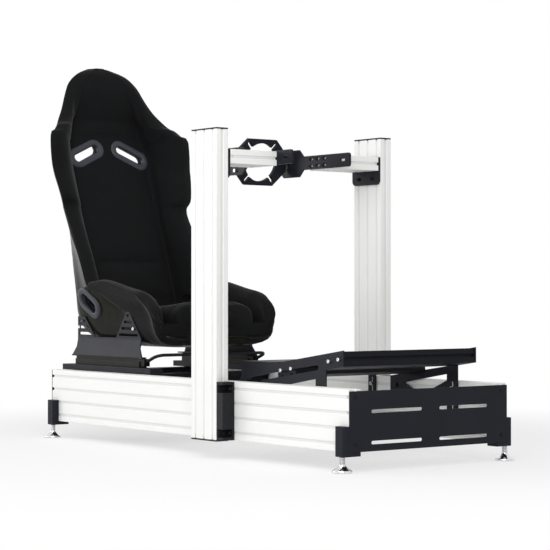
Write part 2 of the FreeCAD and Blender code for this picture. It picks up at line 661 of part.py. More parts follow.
def make_seat_carriage():
    """Cross bars between the rails, base bars on them, and the two slider rails."""
    for name, x in (("rear", CROSSBAR_REAR_X), ("front", CROSSBAR_FRONT_X)):
        bar = turn_across(profile(PROFILE_T, RAIL_GAP), PROFILE_T)
        NODES["seat_crossbar_" + name] = moved(bar, x, -RAIL_INNER, RAIL_TOP - PROFILE_T)
    half = BASE_BAR_W / 2
    pair("seat_base_bar", box(BASE_BAR_REAR_X, BASE_BAR_REAR_X + BASE_BAR_LENGTH,
                              -BASE_BAR_Y - half, -BASE_BAR_Y + half, RAIL_TOP, BASE_TOP))
    x1 = SLIDER_REAR_X + SLIDER_LENGTH
    half = SLIDER_W / 2
    inner = half - SLIDER_WALL
    channel = box(SLIDER_REAR_X, x1, -half, half, 0, SLIDER_H)
    channel = channel.cut(box(SLIDER_REAR_X, x1, -inner, inner, SLIDER_WALL, SLIDER_H))
    pair("slider_rail", moved(channel, 0, -SLIDER_Y, BASE_TOP))
    runner_half = inner - SLIDER_GAP
    floor = SLIDER_WALL + SLIDER_GAP
    runner = box(SLIDER_REAR_X, x1, -runner_half, runner_half, floor, RUNNER_TOP)
    ear = LEVER_TUBE_D / 2 + LEVER_EAR_GAP
    fork = box(x1, LEVER_PIVOT_X + ear, -runner_half, runner_half, floor, RUNNER_TOP)
    fork = fork.cut(box(x1 + LEVER_EAR_GAP, LEVER_PIVOT_X + ear, -ear, ear, floor, RUNNER_TOP))
    pivot = pin(LEVER_PIVOT_X, lever_pivot_rise(), LEVER_TUBE_D / 2, -runner_half, runner_half)
    pair("slider_runner", moved(runner.fuse([fork, pivot]).removeSplitter(), 0, -SLIDER_Y, BASE_TOP))


def lever_pivot_rise():
    """Height of the lever pivot above the slider's underside."""
    return (SLIDER_WALL + SLIDER_GAP + RUNNER_TOP) / 2


def make_lever():
    """Bent tube bail from slider to slider, with eyes on the two pivot pins."""
    z0 = BASE_TOP + lever_pivot_rise()
    z1 = z0 + LEVER_BAR_RISE
    corners = [V(LEVER_PIVOT_X, -SLIDER_Y, z0), V(LEVER_BAR_X, -SLIDER_Y, z1),
               V(LEVER_BAR_X, SLIDER_Y, z1), V(LEVER_PIVOT_X, SLIDER_Y, z0)]
    half = LEVER_TUBE_D / 2
    lever = bent_tube(rounded_path(corners, LEVER_BEND, LEVER_BEND_STEPS), half, LEVER_SIDES)
    bore = half + 2 * PIVOT_CLEARANCE
    eyes = []
    holes = []
    for y in (-SLIDER_Y, SLIDER_Y):
        eyes.append(flat_sided_bar(LEVER_PIVOT_X, z0, LEVER_EYE_D, y - half, y + half, WASHER_SIDES))
        holes.append(pin(LEVER_PIVOT_X, z0, bore, y - LEVER_TUBE_D, y + LEVER_TUBE_D))
    NODES["slider_lever"] = lever.fuse(eyes).removeSplitter().cut(Part.makeCompound(holes))


def rounded_path(corners, bend, steps):
    """The corners' path with each inner corner rounded by this many chords of the bend radius."""
    path = [corners[0]]
    for before, corner, after in zip(corners, corners[1:], corners[2:]):
        back = (before - corner).normalize()
        on = (after - corner).normalize()
        turn = math.pi - back.getAngle(on)
        start = corner + back * (bend * math.tan(turn / 2))
        centre = corner + (back + on).normalize() * (bend / math.cos(turn / 2))
        axis = on.cross(back)
        for i in range(steps + 1):
            swing = FreeCAD.Rotation(axis, math.degrees(turn) * i / steps)
            path.append(centre + swing.multVec(start - centre))
    return path + [corners[-1]]


def bent_tube(path, radius, sides):
    """A bar of flat sides along a path in one plane, mitred where the path turns."""
    runs = [(b - a).normalize() for a, b in zip(path, path[1:])]
    normal = runs[0].cross(runs[len(runs) // 2]).normalize()
    rings = []
    for place, come, go in zip(path, runs[:1] + runs, runs + runs[-1:]):
        middle = (come + go).normalize()
        side = middle.cross(normal) * (radius / math.cos(come.getAngle(go) / 2))
        ring = []
        for i in range(sides):
            turn = 2 * math.pi * (i + 0.5) / sides
            ring.append(place + side * math.cos(turn) + normal * (radius * math.sin(turn)))
        rings.append(ring)
    return skin(rings)


def make_seat_brackets():
    """Side brackets: a foot on the runner, a flared band and a plate with two slotted ears."""
    x0 = BRACKET_REAR_X
    x1 = x0 + BRACKET_LENGTH
    foot_z = RUNNER_TOP_Z
    bend_z = foot_z + BRACKET_BAND_H
    sill = bend_z + BRACKET_SILL_H
    rear_top = bend_z + BRACKET_REAR_EAR_H
    front_top = bend_z + BRACKET_FRONT_EAR_H
    ear_x1 = x1 - BRACKET_FRONT_EAR_SET
    ear_x0 = ear_x1 - BRACKET_FRONT_EAR_TOP
    rear_ear = [(x0, sill), (x0, rear_top), (x0 + BRACKET_REAR_EAR_TOP, rear_top),
                (x0 + BRACKET_REAR_EAR_BASE, sill)]
    front_ear = [(x1 - BRACKET_FRONT_EAR_BASE, sill), (ear_x0, front_top), (ear_x1, front_top), (x1, sill)]
    inner = -MOUNT_HALF_W - MOUNT_GAP
    outer = inner - BRACKET_T
    plate = side_prism([(x0, bend_z)] + rear_ear + front_ear + [(x1, bend_z)], outer, inner)
    cuts = ear_slots(rear_ear, inner) + ear_slots(front_ear, inner)
    plate = plate.cut(Part.makeCompound(cuts))
    low_y = outer - BRACKET_BAND_LEAN
    waist_z = foot_z + BRACKET_FLARE_START
    waist_y = low_y + BRACKET_BAND_LEAN * BRACKET_FLARE_START / BRACKET_BAND_H
    flare0 = x0 - BRACKET_FOOT_FLARE
    flare1 = x1 + BRACKET_FOOT_FLARE
    band = [V(x0, outer, bend_z), V(x0, waist_y, waist_z), V(flare0, low_y, foot_z),
            V(flare1, low_y, foot_z), V(x1, waist_y, waist_z), V(x1, outer, bend_z)]
    band = prism(band, V(0, BRACKET_T, 0))
    foot = box(flare0, x1, low_y, low_y + BRACKET_FOOT_W, foot_z, foot_z + BRACKET_T)
    pair("seat_bracket", plate.fuse([band, foot]).removeSplitter())


def ear_slots(ear, inner):
    """Cutters for the rows of level slots in one ear, as long as the ear is wide at each row."""
    (base0, sill), (top0, top), (top1, _), (base1, _) = ear
    cuts = []
    level = top - BRACKET_SLOT_EDGE
    while level > sill + BRACKET_SLOT_W:
        share = (top - level) / (top - sill)
        x0 = top0 + share * (base0 - top0) + BRACKET_SLOT_MARGIN
        x1 = top1 + share * (base1 - top1) - BRACKET_SLOT_MARGIN
        slot = bolt_slot(x1 - x0, BRACKET_SLOT_W, BRACKET_T)
        cuts.append(side_slot(slot, (x0 + x1) / 2, level, inner))
        level -= BRACKET_SLOT_PITCH
    return cuts


class Station:
    """A place on the seat's middle line, with half the seat's section there."""

    def __init__(self, x, z, heading, *section):
        self.values = (x, z, heading) + section
        self.start = V(x, 0, z)
        turn = math.radians(heading)
        self.outward = V(math.sin(turn), 0, -math.cos(turn))
        rim_w, rim_d, knee_w, knee_d, wall_w, wall_d, floor_w, thick = section
        self.rim = (rim_w, rim_d)
        self.corners = [self.rim, (knee_w, knee_d), (wall_w, wall_d)]
        self.floor = (floor_w, -thick)
        self.pad_w = min(PAD_HALF_W, floor_w - SHELL_T)

    def point(self, y, out):
        """A point at y across and out from the padded surface towards the driver."""
        return self.start + V(0, y, 0) + self.outward * out

    def right_wall(self, inset):
        """The shell's right outline from rim to floor, moved in by inset."""
        places = [(width - inset, out) for width, out in self.corners]
        places.append((self.floor[0] - inset / 2, self.floor[1] + inset))
        return [self.point(-width, out) for width, out in places]

    def bucket(self, inset):
        """The whole U from the right rim to the left rim."""
        right = self.right_wall(inset)
        return right + [V(p.x, -p.y, p.z) for p in reversed(right)]

    def shell_ring(self, outer, inner):
        return self.bucket(outer) + self.bucket(inner)[::-1]

    def middle_ring(self):
        """Ring of the pad between the bolsters."""
        low = self.floor[1] + SHELL_T + PAD_GAP
        places = [(-self.pad_w, low), (self.pad_w, low), (self.pad_w, 0), (-self.pad_w, 0)]
        return [self.point(y, out) for y, out in places]

    def padded_side(self):
        """The right bolster's padded face, from the middle pad up to the crown above the rim."""
        side = self.pad_w + PAD_GAP
        crown_w = self.rim[0] - SHELL_T - PAD_GAP - CROWN_INSET
        crown_d = max(self.rim[1] + CROWN_RISE, CROWN_RISE / 2)
        slope_w = side + SLOPE_SHARE * (crown_w - side)
        return [self.point(-side, 0), self.point(-slope_w, SLOPE_HEIGHT * crown_d),
                self.point(-crown_w, crown_d)]

    def bolster_ring(self):
        """Ring of the right bolster, from the middle pad out to the shell wall."""
        inset = SHELL_T + PAD_GAP
        corner = self.point(-self.pad_w - PAD_GAP, self.floor[1] + inset)
        return self.right_wall(inset) + [corner] + self.padded_side()

    def full_ring(self):
        """Ring of a pad that fills the shell from rim to rim."""
        right = self.padded_side()
        left = [V(p.x, -p.y, p.z) for p in reversed(right)]
        return self.bucket(SHELL_T + PAD_GAP) + left + right


def straight_stations(x, z, heading, length, sections):
    """Stations along a straight stretch of the seat."""
    turn = math.radians(heading)
    stations = []
    for share, *section in sections:
        ahead = share * length
        stations.append(Station(x + ahead * math.cos(turn), z + ahead * math.sin(turn), heading, *section))
    return stations


def roll_stations(heading):
    """Stations round the rolled front edge."""
    stations = []
    for share, *section in ROLL_SECTIONS:
        turn = math.radians(90 * share)
        x = SEAT_FRONT_X - FRONT_ROLL_L * (1 - math.cos(turn))
        z = SEAT_FRONT_Z + FRONT_ROLL_H * math.sin(turn)
        stations.append(Station(x, z, heading, *section))
    return stations


def hip_stations(last, heading, upright):
    """Stations round the bend from the cushion to the back."""
    centre = last.point(0, HIP_RADIUS)
    stations = []
    for share, *section in HIP_SECTIONS:
        turn = heading + share * (upright - heading)
        seat = Station(centre.x, centre.z, turn, *section).point(0, -HIP_RADIUS)
        stations.append(Station(seat.x, seat.z, turn, *section))
    return stations


def smoothed(stations):
    """One more station between each two, on the curve through their neighbours."""
    values = [station.values for station in stations]
    padded = values[:1] + values + values[-1:]
    smooth = stations[:1]
    for before, start, end, after in zip(padded, padded[1:], padded[2:], padded[3:]):
        middle = [(9 * (b + c) - a - d) / 16 for a, b, c, d in zip(before, start, end, after)]
        smooth += [Station(*middle), Station(*end)]
    return smooth


def seat_stations():
    """Stations of the cushion, the back and the head; neighbours share their end stations."""
    heading = 180 + CUSHION_SLOPE
    upright = 90 + BACK_RECLINE
    front = roll_stations(heading)
    front += straight_stations(SEAT_FRONT_X - FRONT_ROLL_L, SEAT_FRONT_Z + FRONT_ROLL_H, heading,
                               CUSHION_LENGTH, CUSHION_SECTIONS)
    hip = hip_stations(front[-1], heading, upright)
    back = straight_stations(*hip[-1].values[:2], upright, BACK_LENGTH, BACK_SECTIONS)
    head = straight_stations(*back[-1].values[:2], 90 + HEAD_RECLINE, HEAD_LENGTH, HEAD_SECTIONS)
    whole = smoothed(front + hip + back + head)
    hip_seam = 2 * (len(front) + len(hip) - 2)
    head_seam = 2 * (len(front) + len(hip) + len(back) - 1)
    return whole[:hip_seam + 1], whole[hip_seam:head_seam + 1], whole[head_seam:]


def on_plane(shape, start, across, up, depth_way):
    """Move a shape from the XY plane so that X goes across, Y goes up and Z goes along depth_way."""
    placed = shape.copy()
    turn = FreeCAD.Rotation(across, up, depth_way, "ZXY")
    placed.Placement = FreeCAD.Placement(start, turn).multiply(placed.Placement)
    return placed


def harness_slot(middle, extra):
    """Level cutter through the back for the right shoulder strap, wider all round by extra."""
    reach = BELT_SLOT_L
    slot = slot_prism(BELT_SLOT_L + 2 * extra, BELT_SLOT_W + 2 * extra, 2 * reach, BELT_END_SIDES)
    slot.rotate(V(0, 0, 0), V(0, 0, 1), BELT_SLOT_TILT)
    return on_plane(slot, middle - V(reach, 0, 0), V(0, 1, 0), V(0, 0, 1), V(1, 0, 0))


def harness_cutters(back):
    """The way through shell and pads, the bezel's pocket in the pads and the bezel, on the right."""
    middle = back[-1].point(-BELT_SLOT_Y, 0) - BACK_WAY * BELT_SLOT_DOWN
    blocks = []
    for border, low, high in ((BEZEL_BORDER + PAD_GAP, -BEZEL_T / 2 - PAD_GAP, BEZEL_POCKET_H),
                              (BEZEL_BORDER, -BEZEL_T / 2, BEZEL_T / 2)):
        block = slot_prism(BELT_SLOT_L + 2 * border, BELT_SLOT_W + 2 * border, high - low, BELT_END_SIDES)
        block.rotate(V(0, 0, 0), V(0, 0, 1), BELT_SLOT_TILT)
        blocks.append(on_plane(block, middle + BACK_OUT * low, V(0, 1, 0), BACK_WAY, BACK_OUT))
    pocket, bezel = blocks
    return harness_slot(middle, BELT_WAY_EXTRA), pocket, bezel.cut(harness_slot(middle, 0.0))


def lap_slot(border):
    """Cutter across the right side of the seat at the lap strap, wider all round by border."""
    bar = slot_prism(LAP_SLOT_L + 2 * border, LAP_SLOT_W + 2 * border,
                     LAP_CUT_OUTER_Y - LAP_CUT_INNER_Y, BELT_END_SIDES)
    return side_slot(bar, LAP_SLOT_X, LAP_SLOT_Z, -LAP_CUT_INNER_Y, LAP_SLOT_TILT)


def make_seat():
    cushion, back, head = seat_stations()
    way, pocket, bezel = harness_cutters(back)
    lap = lap_slot(0.0)
    ways = Part.makeCompound(both(way))
    pockets = Part.makeCompound(both(pocket))
    whole = cushion + back[1:] + head[1:]
    shell = skin([station.shell_ring(0.0, SHELL_T) for station in whole])
    NODES["seat_shell"] = shell.cut(ways).cut(Part.makeCompound(both(lap)))
    NODES["seat_cushion"] = skin([station.middle_ring() for station in cushion])
    NODES["back_pad"] = skin([station.middle_ring() for station in back]).cut(ways).cut(pockets)
    NODES["headrest_pad"] = skin([station.full_ring() for station in head])
    pair("thigh_bolster", skin([station.bolster_ring() for station in cushion]).cut(lap))
    pair("back_bolster", skin([station.bolster_ring() for station in back]).cut(way).cut(pocket))
    wrap = skin([station.shell_ring(-LAP_BEZEL_T, -MOUNT_GAP) for station in cushion])
    lap_bezel = wrap.common(lap_slot(LAP_BEZEL_BORDER)).cut(lap)
    NODES["belt_bezels"] = Part.makeCompound(both(bezel) + both(lap_bezel))


def main():
    strips = make_rails() + make_uprights() + make_wheel_mount()
    NODES["groove_strips"] = Part.makeCompound([one for strip in strips for one in both(strip)])
    make_corner_brackets()
    make_front_plate()
    make_feet()
    make_wheel_plate()
    make_pivot_bolts()
    make_pedal_tray()
    make_seat_carriage()
    make_lever()
    make_seat_brackets()
    make_seat()
    os.makedirs("parts", exist_ok=True)
    for name, shape in NODES.items():
        shape.exportStep("parts/" + name + ".step")


main()
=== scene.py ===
"""Sim racing cockpit: upholstery, fittings, fasteners, finishes and studio around the solid frame."""
import bpy
import bmesh
import math
from bpy.props import FloatProperty, FloatVectorProperty, PointerProperty
from bpy.types import Operator, Panel, PropertyGroup
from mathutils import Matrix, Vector
from mathutils.bvhtree import BVHTree


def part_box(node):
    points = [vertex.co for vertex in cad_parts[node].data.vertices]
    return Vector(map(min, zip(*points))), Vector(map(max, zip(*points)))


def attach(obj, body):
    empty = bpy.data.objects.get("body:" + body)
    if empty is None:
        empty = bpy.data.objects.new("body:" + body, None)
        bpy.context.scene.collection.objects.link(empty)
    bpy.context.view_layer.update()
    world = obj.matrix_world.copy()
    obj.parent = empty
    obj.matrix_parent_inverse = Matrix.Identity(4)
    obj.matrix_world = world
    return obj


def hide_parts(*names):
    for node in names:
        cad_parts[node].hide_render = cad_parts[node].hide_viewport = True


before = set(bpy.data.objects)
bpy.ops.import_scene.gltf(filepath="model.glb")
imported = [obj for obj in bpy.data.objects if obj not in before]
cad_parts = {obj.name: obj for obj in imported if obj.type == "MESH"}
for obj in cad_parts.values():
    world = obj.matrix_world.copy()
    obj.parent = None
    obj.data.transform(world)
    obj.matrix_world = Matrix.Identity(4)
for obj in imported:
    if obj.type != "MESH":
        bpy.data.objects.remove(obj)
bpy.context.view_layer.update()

bl_info = {
    "name": "Sim Racing Cockpit",
    "version": (1, 0, 0),
    "blender": (4, 5, 0),
    "location": "View3D > Sidebar > Cockpit",
    "description": "Builds the visible pieces of a sim racing cockpit around its solid frame",
    "category": "Object",
}

MM = 0.001
RIGHT, LEFT = -1, 1
SIDE_NAMES = {RIGHT: "right", LEFT: "left"}

# Seat middle line, as in the solid seat, in millimetres
SEAT_FRONT_X = -141.0
SEAT_FRONT_Z = 368.0
FRONT_ROLL_L = 40.0
FRONT_ROLL_H = 46.0
CUSHION_LENGTH = 290.0
CUSHION_SLOPE = 5.5
HIP_RADIUS = 110.0
BACK_RECLINE = 20.0
BACK_LENGTH = 540.0
HEAD_RECLINE = 9.0
HEAD_LENGTH = 230.0
SHELL_T = 7.0
PAD_HALF_W = 148.0
CROWN_INSET = 25.0
CROWN_RISE = 12.0
SLOPE_SHARE = 0.62
SLOPE_HEIGHT = 0.86
LUMBAR_SEAM_Z = 553.0
LUMBAR_SEAM_HALF_W = 112.0
# Thigh bolsters drop and spread over their last length in front; the head fills out between two heights
BOLSTER_NOSE_L = 74.0
BOLSTER_NOSE_DROP = 34.0
BOLSTER_NOSE_SPREAD = 36.0
HEAD_FULL_FROM_Z = 1020.0
HEAD_FULL_TO_Z = 1120.0
CUSHION_FRONT_REACH = 48.0
NOSE_INSETS = (1.0, 3.5, 8.0, 14.0)
TIP_INSETS = (2.0, 7.0, 15.0, 26.0)

# Share of the stretch, half width and height of the rim, the knee and the wall end, half width and
# depth of the floor, then how many corners down from the rim the cover's hem lies and how deep the
# tray is that the loose cushion sits in
ROLL_SECTIONS = [(0.00, 226, -6, 222, -14, 214, -40, 190, 56, 3.4, 40),
                 (0.33, 234, -6, 226, -12, 220, -62, 188, 92, 3.4, 66),
                 (0.67, 238, 0, 222, -12, 214, -80, 182, 114, 3.4, 82)]
CUSHION_SECTIONS = [(0.00, 240, 10, 212, -8, 206, -86, 176, 124, 3.3, 84),
                    (0.11, 241, 34, 203, 0, 203, -88, 172, 122, 3.0, 76),
                    (0.34, 240, 54, 203, 5, 203, -84, 172, 116, 1.6, 64),
                    (0.76, 240, 90, 203, 5, 203, -72, 172, 104, 0.62, 52),
                    (1.00, 239, 94, 203, 5, 203, -66, 172, 96, 0.22, 46)]
HIP_SECTIONS = [(0.33, 238, 90, 203, 5, 203, -62, 170, 92, 0.28, 36),
                (0.67, 238, 92, 203, 5, 203, -58, 166, 104, 0.14, 14),
                (1.00, 238, 90, 203, 5, 203, -38, 164, 84, 0.10, 0)]
BACK_SECTIONS = [(0.20, 238, 76, 203, 5, 196, -32, 156, 78, 0.14, 0),
                 (0.475, 235, 40, 206, 5, 184, -22, 150, 62, 1.2, 0),
                 (0.555, 250, 58, 206, 8, 178, -20, 148, 54, 1.4, 0),
                 (0.75, 266, 67, 211, 8, 185, -18, 148, 44, 1.4, 0),
                 (0.92, 265, 87, 197, 10, 175, -14, 146, 38, 1.4, 0),
                 (0.96, 245, 83, 188, 11, 168, -14, 142, 38, 1.4, 0),
                 (1.00, 226, 77, 179, 12, 160, -14, 138, 38, 1.4, 0)]
HEAD_SECTIONS = [(0.16, 205, 54, 169, 8, 152, -13, 130, 38, 1.4, 0),
                 (0.35, 175, 32, 152, 4, 136, -14, 114, 38, 1.4, 0),
                 (0.55, 152, 20, 134, -2, 118, -15, 98, 38, 1.4, 0),
                 (0.75, 128, 12, 113, -6, 99, -17, 82, 38, 1.4, 0),
                 (0.90, 89, 7, 76, -8, 65, -17, 52, 35, 1.5, 0),
                 (1.00, 38, -8, 34, -11, 27, -16, 20, 31.6, 1.6, 0)]

# Rings along the seat, and the cover's and the cushion's own sizes
SEAT_RING_PITCH = 7.5
COVER_SINK = 4.5
LINING_GAP = 0.6
HEM_STEPS = 8
SHELL_STEPS = 14
RIM_ROLL = 7.5
CROWN_OUTER = 4.0
CROWN_INNER = 6.0
SLOPE_LOW = (0.27, 0.40)
SLOPE_FOOT = (0.07, 0.02)
CREASE_W = 5.0
PANEL_EDGE_W = 20.0
LUMBAR_SEAM_REACH = 7.0
COVER_NOSE = 8.0
COVER_TIP = 2.0
COVER_SLOT_EXTRA = 2.0
CLAMP_FADE = 18.0
CLAMP_DEPTH = 30.0
CUSHION_GAP = 3.0
CUSHION_LEAST_TRAY = 14.0
CUSHION_FADE_RINGS = 8
CUSHION_STEPS = 64
CUSHION_REACHES = (0.25, 0.5, 0.75)

# Cloth simulation: how long it runs, and the pressure in the cover and in the cushion
CLOTH_FRAMES = 20
COVER_PRESSURE = 3.0
CUSHION_PRESSURE = 4.0

# Belt slots, as in the solid seat
BELT_SLOT_Y = 83.0
BELT_SLOT_L = 104.0
BELT_SLOT_W = 26.0
BELT_SLOT_TILT = 26.0
BELT_SLOT_DOWN = 62.0
BELT_WAY_EXTRA = 6.0
BELT_WAY_REACH = 140.0
BEZEL_BORDER = 23.0
LAP_SLOT_X = -510.0
LAP_SLOT_Z = 421.0
LAP_SLOT_L = 78.0
LAP_SLOT_W = 34.0
LAP_SLOT_TILT = -35.0
LAP_CUT_INNER_Y = 100.0
LAP_CUT_OUTER_Y = 300.0
LAP_SEAT_Y = 203.0
SLOT_CUT_STEPS = 12
BEZEL_STEPS = 16
LAP_BEZEL_BORDER = 20.0
LAP_BEZEL_FACE_Y = 222.5
LAP_BEZEL_LEAN = 0.28

# Screws, stitches and turned feet
SCREW_SIDES = 24
WASHER_SIDES = 28
SCREW_EDGE_SHARE = 0.14
HEXAGON_CORNER = 0.577
STITCH_LIFT = 0.0004
SEAM_INSET = 6.0
SEAM_START = 20.0
SEAM_OFFSET = 4.0
SEAM_STEP = 8
SEAM_END_RINGS = 8
FOOT_OUTLINE = [(0.0, 0.0), (25.2, 0.0), (26.3, 0.6), (26.5, 2.2), (26.5, 4.6), (25.8, 6.2),
                (23.6, 7.4), (19.4, 9.6), (14.2, 13.4), (10.6, 16.8), (8.6, 19.6), (8.2, 21.0),
                (9.0, 22.2), (9.0, 23.4)]
FOOT_STUD_Z = 23.8
FOOT_STUD_R = 7.2
FOOT_THREAD_PITCH = 1.4
FOOT_THREAD_DEPTH = 0.9
FOOT_THREAD_RISE = 0.6

# Studio colours, and the distances in metres over which the floor turns white
FLOOR_WHITE = (0.95, 0.95, 0.95, 1.0)
PURE_WHITE = (1.0, 1.0, 1.0, 1.0)
FLOOR_FADE_FROM = 0.9
FLOOR_FADE_TO = 2.2
FLOOR_FADE_LEAST = 0.6

# Camera of the photograph, fitted to the profile grid
CAMERA_SPOT = (4.46349, -3.29901, 0.46823)
CAMERA_YAW = 142.548
CAMERA_PITCH = 0.404
CAMERA_SENSOR = 36.0
CAMERA_SIGHT = 200.0


def paint(red, green, blue):
    """A written screen colour as scene light."""
    channels = []
    for level in (red, green, blue):
        share = level / 255
        channels.append(share / 12.92 if share <= 0.04045 else ((share + 0.055) / 1.055) ** 2.4)
    return tuple(channels)


def colour_property(name, description, default):
    return FloatVectorProperty(name=name, description=description, default=default, subtype="COLOR",
                               size=3, min=0.0, max=1.0)


def length_property(name, description, default):
    return FloatProperty(name=name, description=description, default=default, unit="LENGTH",
                         subtype="DISTANCE", min=0.0, precision=4)


def power_property(name, description, default):
    return FloatProperty(name=name, description=description, default=default, min=0.0, unit="POWER",
                         subtype="POWER")


class CockpitFinishes(PropertyGroup):
    profile_white: colour_property("Profile white", "Powder coat of the rails and uprights",
                                   paint(240, 240, 238))
    # The groove strips are set greyer than the profile white: painted shade of the recessed groove
    groove_cover: colour_property("Groove cover", "Plastic strips in the profile grooves",
                                  paint(226, 226, 226))
    plate_black: colour_property("Plate black", "Powder coat of the steel plates", paint(28, 29, 36))
    profile_black: colour_property("Profile black", "Anodised tray beams and cross bars",
                                   paint(20, 21, 26))
    cap_black: colour_property("Cap black", "Moulded end caps and corner brackets", paint(26, 27, 31))
    fabric: colour_property("Fabric", "Seat cover cloth", paint(9, 10, 12))
    shell: colour_property("Shell", "Gel coat of the seat shell", paint(25, 26, 20))
    bezel: colour_property("Bezel", "Belt guide mouldings", paint(54, 55, 63))
    slider: colour_property("Slider", "Phosphated seat sliders", paint(25, 27, 18))
    dark_screw: colour_property("Dark screw", "Blackened screws and bolts", paint(30, 30, 33))
    bright_screw: colour_property("Bright screw", "Zinc plated screws", paint(205, 207, 212))
    chrome: colour_property("Chrome", "Levelling feet", paint(222, 222, 224))
    thread: colour_property("Thread", "Seam stitching", paint(17, 18, 20))


class CockpitSeat(PropertyGroup):
    cover_proud: length_property("Cover proud", "How far the cover stands out from the bare shell",
                                 0.0015)
    crease_depth: length_property("Crease depth", "Depth of the sewn line beside each bolster", 0.004)
    lumbar_depth: length_property("Lumbar seam depth", "Depth of the sewn line across the back", 0.0045)
    back_crown: length_property("Back crown", "Rise of the back panel in its middle", 0.003)
    cover_swell: length_property("Cover swell", "Most that the cover swells in simulation", 0.004)
    cushion_crown: length_property("Cushion crown", "Rise of the loose cushion in its middle", 0.008)
    cushion_swell: length_property("Cushion swell", "Most that the cushion swells in simulation", 0.006)
    cushion_weave: length_property("Cushion mesh", "Mesh size of the cushion in simulation", 0.0055)
    stitch_length: length_property("Stitch length", "Length of one stitch", 0.0042)
    stitch_pitch: length_property("Stitch pitch", "Distance from one stitch to the next", 0.0062)
    stitch_width: length_property("Stitch width", "Thickness of the thread", 0.0011)


class CockpitFittings(PropertyGroup):
    profile_round: length_property("Profile edge", "Rounding of the extruded profile's edges", 0.0012)
    plate_round: length_property("Plate edge", "Rounding of the plates' edges", 0.0008)
    screw_head: length_property("Screw head", "Diameter of a cap screw's head", 0.010)
    screw_height: length_property("Screw height", "Height of a cap screw's head", 0.0065)
    low_height: length_property("Low head height", "Height of a low screw head", 0.0036)
    screw_socket: length_property("Screw socket", "Width of a screw's key", 0.005)
    washer: length_property("Washer", "Diameter of a washer", 0.016)
    washer_thickness: length_property("Washer thickness", "Thickness of a washer", 0.0016)


class CockpitStudio(PropertyGroup):
    floor_size: length_property("Floor", "Side of the studio floor", 60.0)
    lens: FloatProperty(name="Lens", description="Focal length of the camera in millimetres",
                        default=122.3, min=10.0)
    sky: FloatProperty(name="Sky", description="Light from all round", default=0.42, min=0.0)
    key_light: power_property("Key light", "Power of the overhead soft box", 42.0)
    side_light: power_property("Side light", "Power of the soft box on the right", 10.0)
    front_light: power_property("Front light", "Power of the soft box ahead", 96.0)
    rear_light: power_property("Rear light", "Power of the soft box at the rear right", 42.0)


class TreeWork:
    """A node tree under construction, with short calls for its nodes and links."""

    def __init__(self, tree):
        self.tree = tree

    def node(self, kind, inputs=None, **settings):
        made = self.tree.nodes.new(kind)
        for name, value in settings.items():
            setattr(made, name, value)
        return self.fill(made, inputs or {})

    def fill(self, node, inputs):
        """Gives inputs their values: numbers are written, and sockets are linked in their order."""
        for name, value in inputs.items():
            if isinstance(value, bpy.types.NodeSocket):
                value = [value]
            if isinstance(value, list):
                for socket in value:
                    self.tree.links.new(socket, node.inputs[name])
            else:
                node.inputs[name].default_value = value
        return node

    def work_out(self, operation, first, second):
        """Arithmetic on a socket and on a second socket or a number."""
        return self.node("ShaderNodeMath", {0: first, 1: second}, operation=operation).outputs[0]


class Finish(TreeWork):
    """A material under construction, with its shader and short calls for its textures."""

    def __init__(self, name, colour, roughness, metallic=0.0, **sockets):
        material = bpy.data.materials.new("finish_" + name)
        material.use_nodes = True
        super().__init__(material.node_tree)
        self.colour = colour
        self.shader = self.tree.nodes["Principled BSDF"]
        self.fill(self.shader, {"Base Color": (*colour, 1.0), "Roughness": roughness,
                                "Metallic": metallic})
        self.fill(self.shader, {socket.replace("_", " "): value for socket, value in sockets.items()})

    def place(self, stretch=(1.0, 1.0, 1.0)):
        """Coordinates on the piece, stretched along its axes."""
        spot = self.node("ShaderNodeTexCoord").outputs["Object"]
        return self.node("ShaderNodeMapping", {"Vector": spot, "Scale": stretch}).outputs["Vector"]

    def noise(self, place, scale, detail=3.0, roughness=0.55):
        return self.node("ShaderNodeTexNoise", {"Vector": place, "Scale": scale, "Detail": detail,
                                                "Roughness": roughness}).outputs["Fac"]

    def cells(self, place, scale, randomness):
        return self.node("ShaderNodeTexVoronoi", {"Vector": place, "Scale": scale,
                                                  "Randomness": randomness}).outputs["Distance"]

    def shade(self, amount, low, high):
        """Base colour between low and high times the written colour."""
        ramp = self.node("ShaderNodeValToRGB", {"Fac": amount})
        for end, position, level in ((0, 0.3, low), (1, 0.7, high)):
            ramp.color_ramp.elements[end].position = position
            ramp.color_ramp.elements[end].color = (*[min(1.0, c * level) for c in self.colour], 1.0)
        self.fill(self.shader, {"Base Color": ramp.outputs["Color"]})

    def gloss(self, amount, low, high):
        """Roughness between low and high."""
        spread = self.node("ShaderNodeMapRange", {"Value": amount, "To Min": low, "To Max": high})
        self.fill(self.shader, {"Roughness": spread.outputs["Result"]})

    def bump(self, height, strength, distance, under=None):
        relief = self.node("ShaderNodeBump", {"Height": height, "Strength": strength,
                                              "Distance": distance})
        if under is not None:
            self.fill(relief, {"Normal": under})
        self.fill(self.shader, {"Normal": relief.outputs["Normal"]})
        return relief.outputs["Normal"]


def powder_coat(name, colour, roughness, specular, spread):
    """Baked paint: orange peel, a finer grit and a slow drift of tone."""
    finish = Finish(name, colour, roughness, Specular_IOR_Level=specular)
    place = finish.place()
    finish.shade(finish.noise(place, 9.0), 1.0 - spread, 1.0 + spread)
    finish.gloss(finish.noise(place, 40.0), roughness - 0.06, roughness + 0.06)
    peel = finish.bump(finish.noise(place, 420.0, 2.0), 0.12, 0.0004)
    finish.bump(finish.noise(place, 1900.0, 2.0), 0.10, 0.0002, peel)


def moulded_plastic(name, colour, roughness, specular, spread):
    """Spark-eroded mould texture with slightly polished high spots."""
    finish = Finish(name, colour, roughness, Specular_IOR_Level=specular)
    place = finish.place()
    finish.shade(finish.noise(place, 30.0), 1.0 - spread, 1.0 + spread)
    grain = finish.noise(place, 1500.0, 4.0, 0.7)
    finish.gloss(grain, roughness - 0.08, roughness + 0.10)
    finish.bump(grain, 0.22, 0.0003)


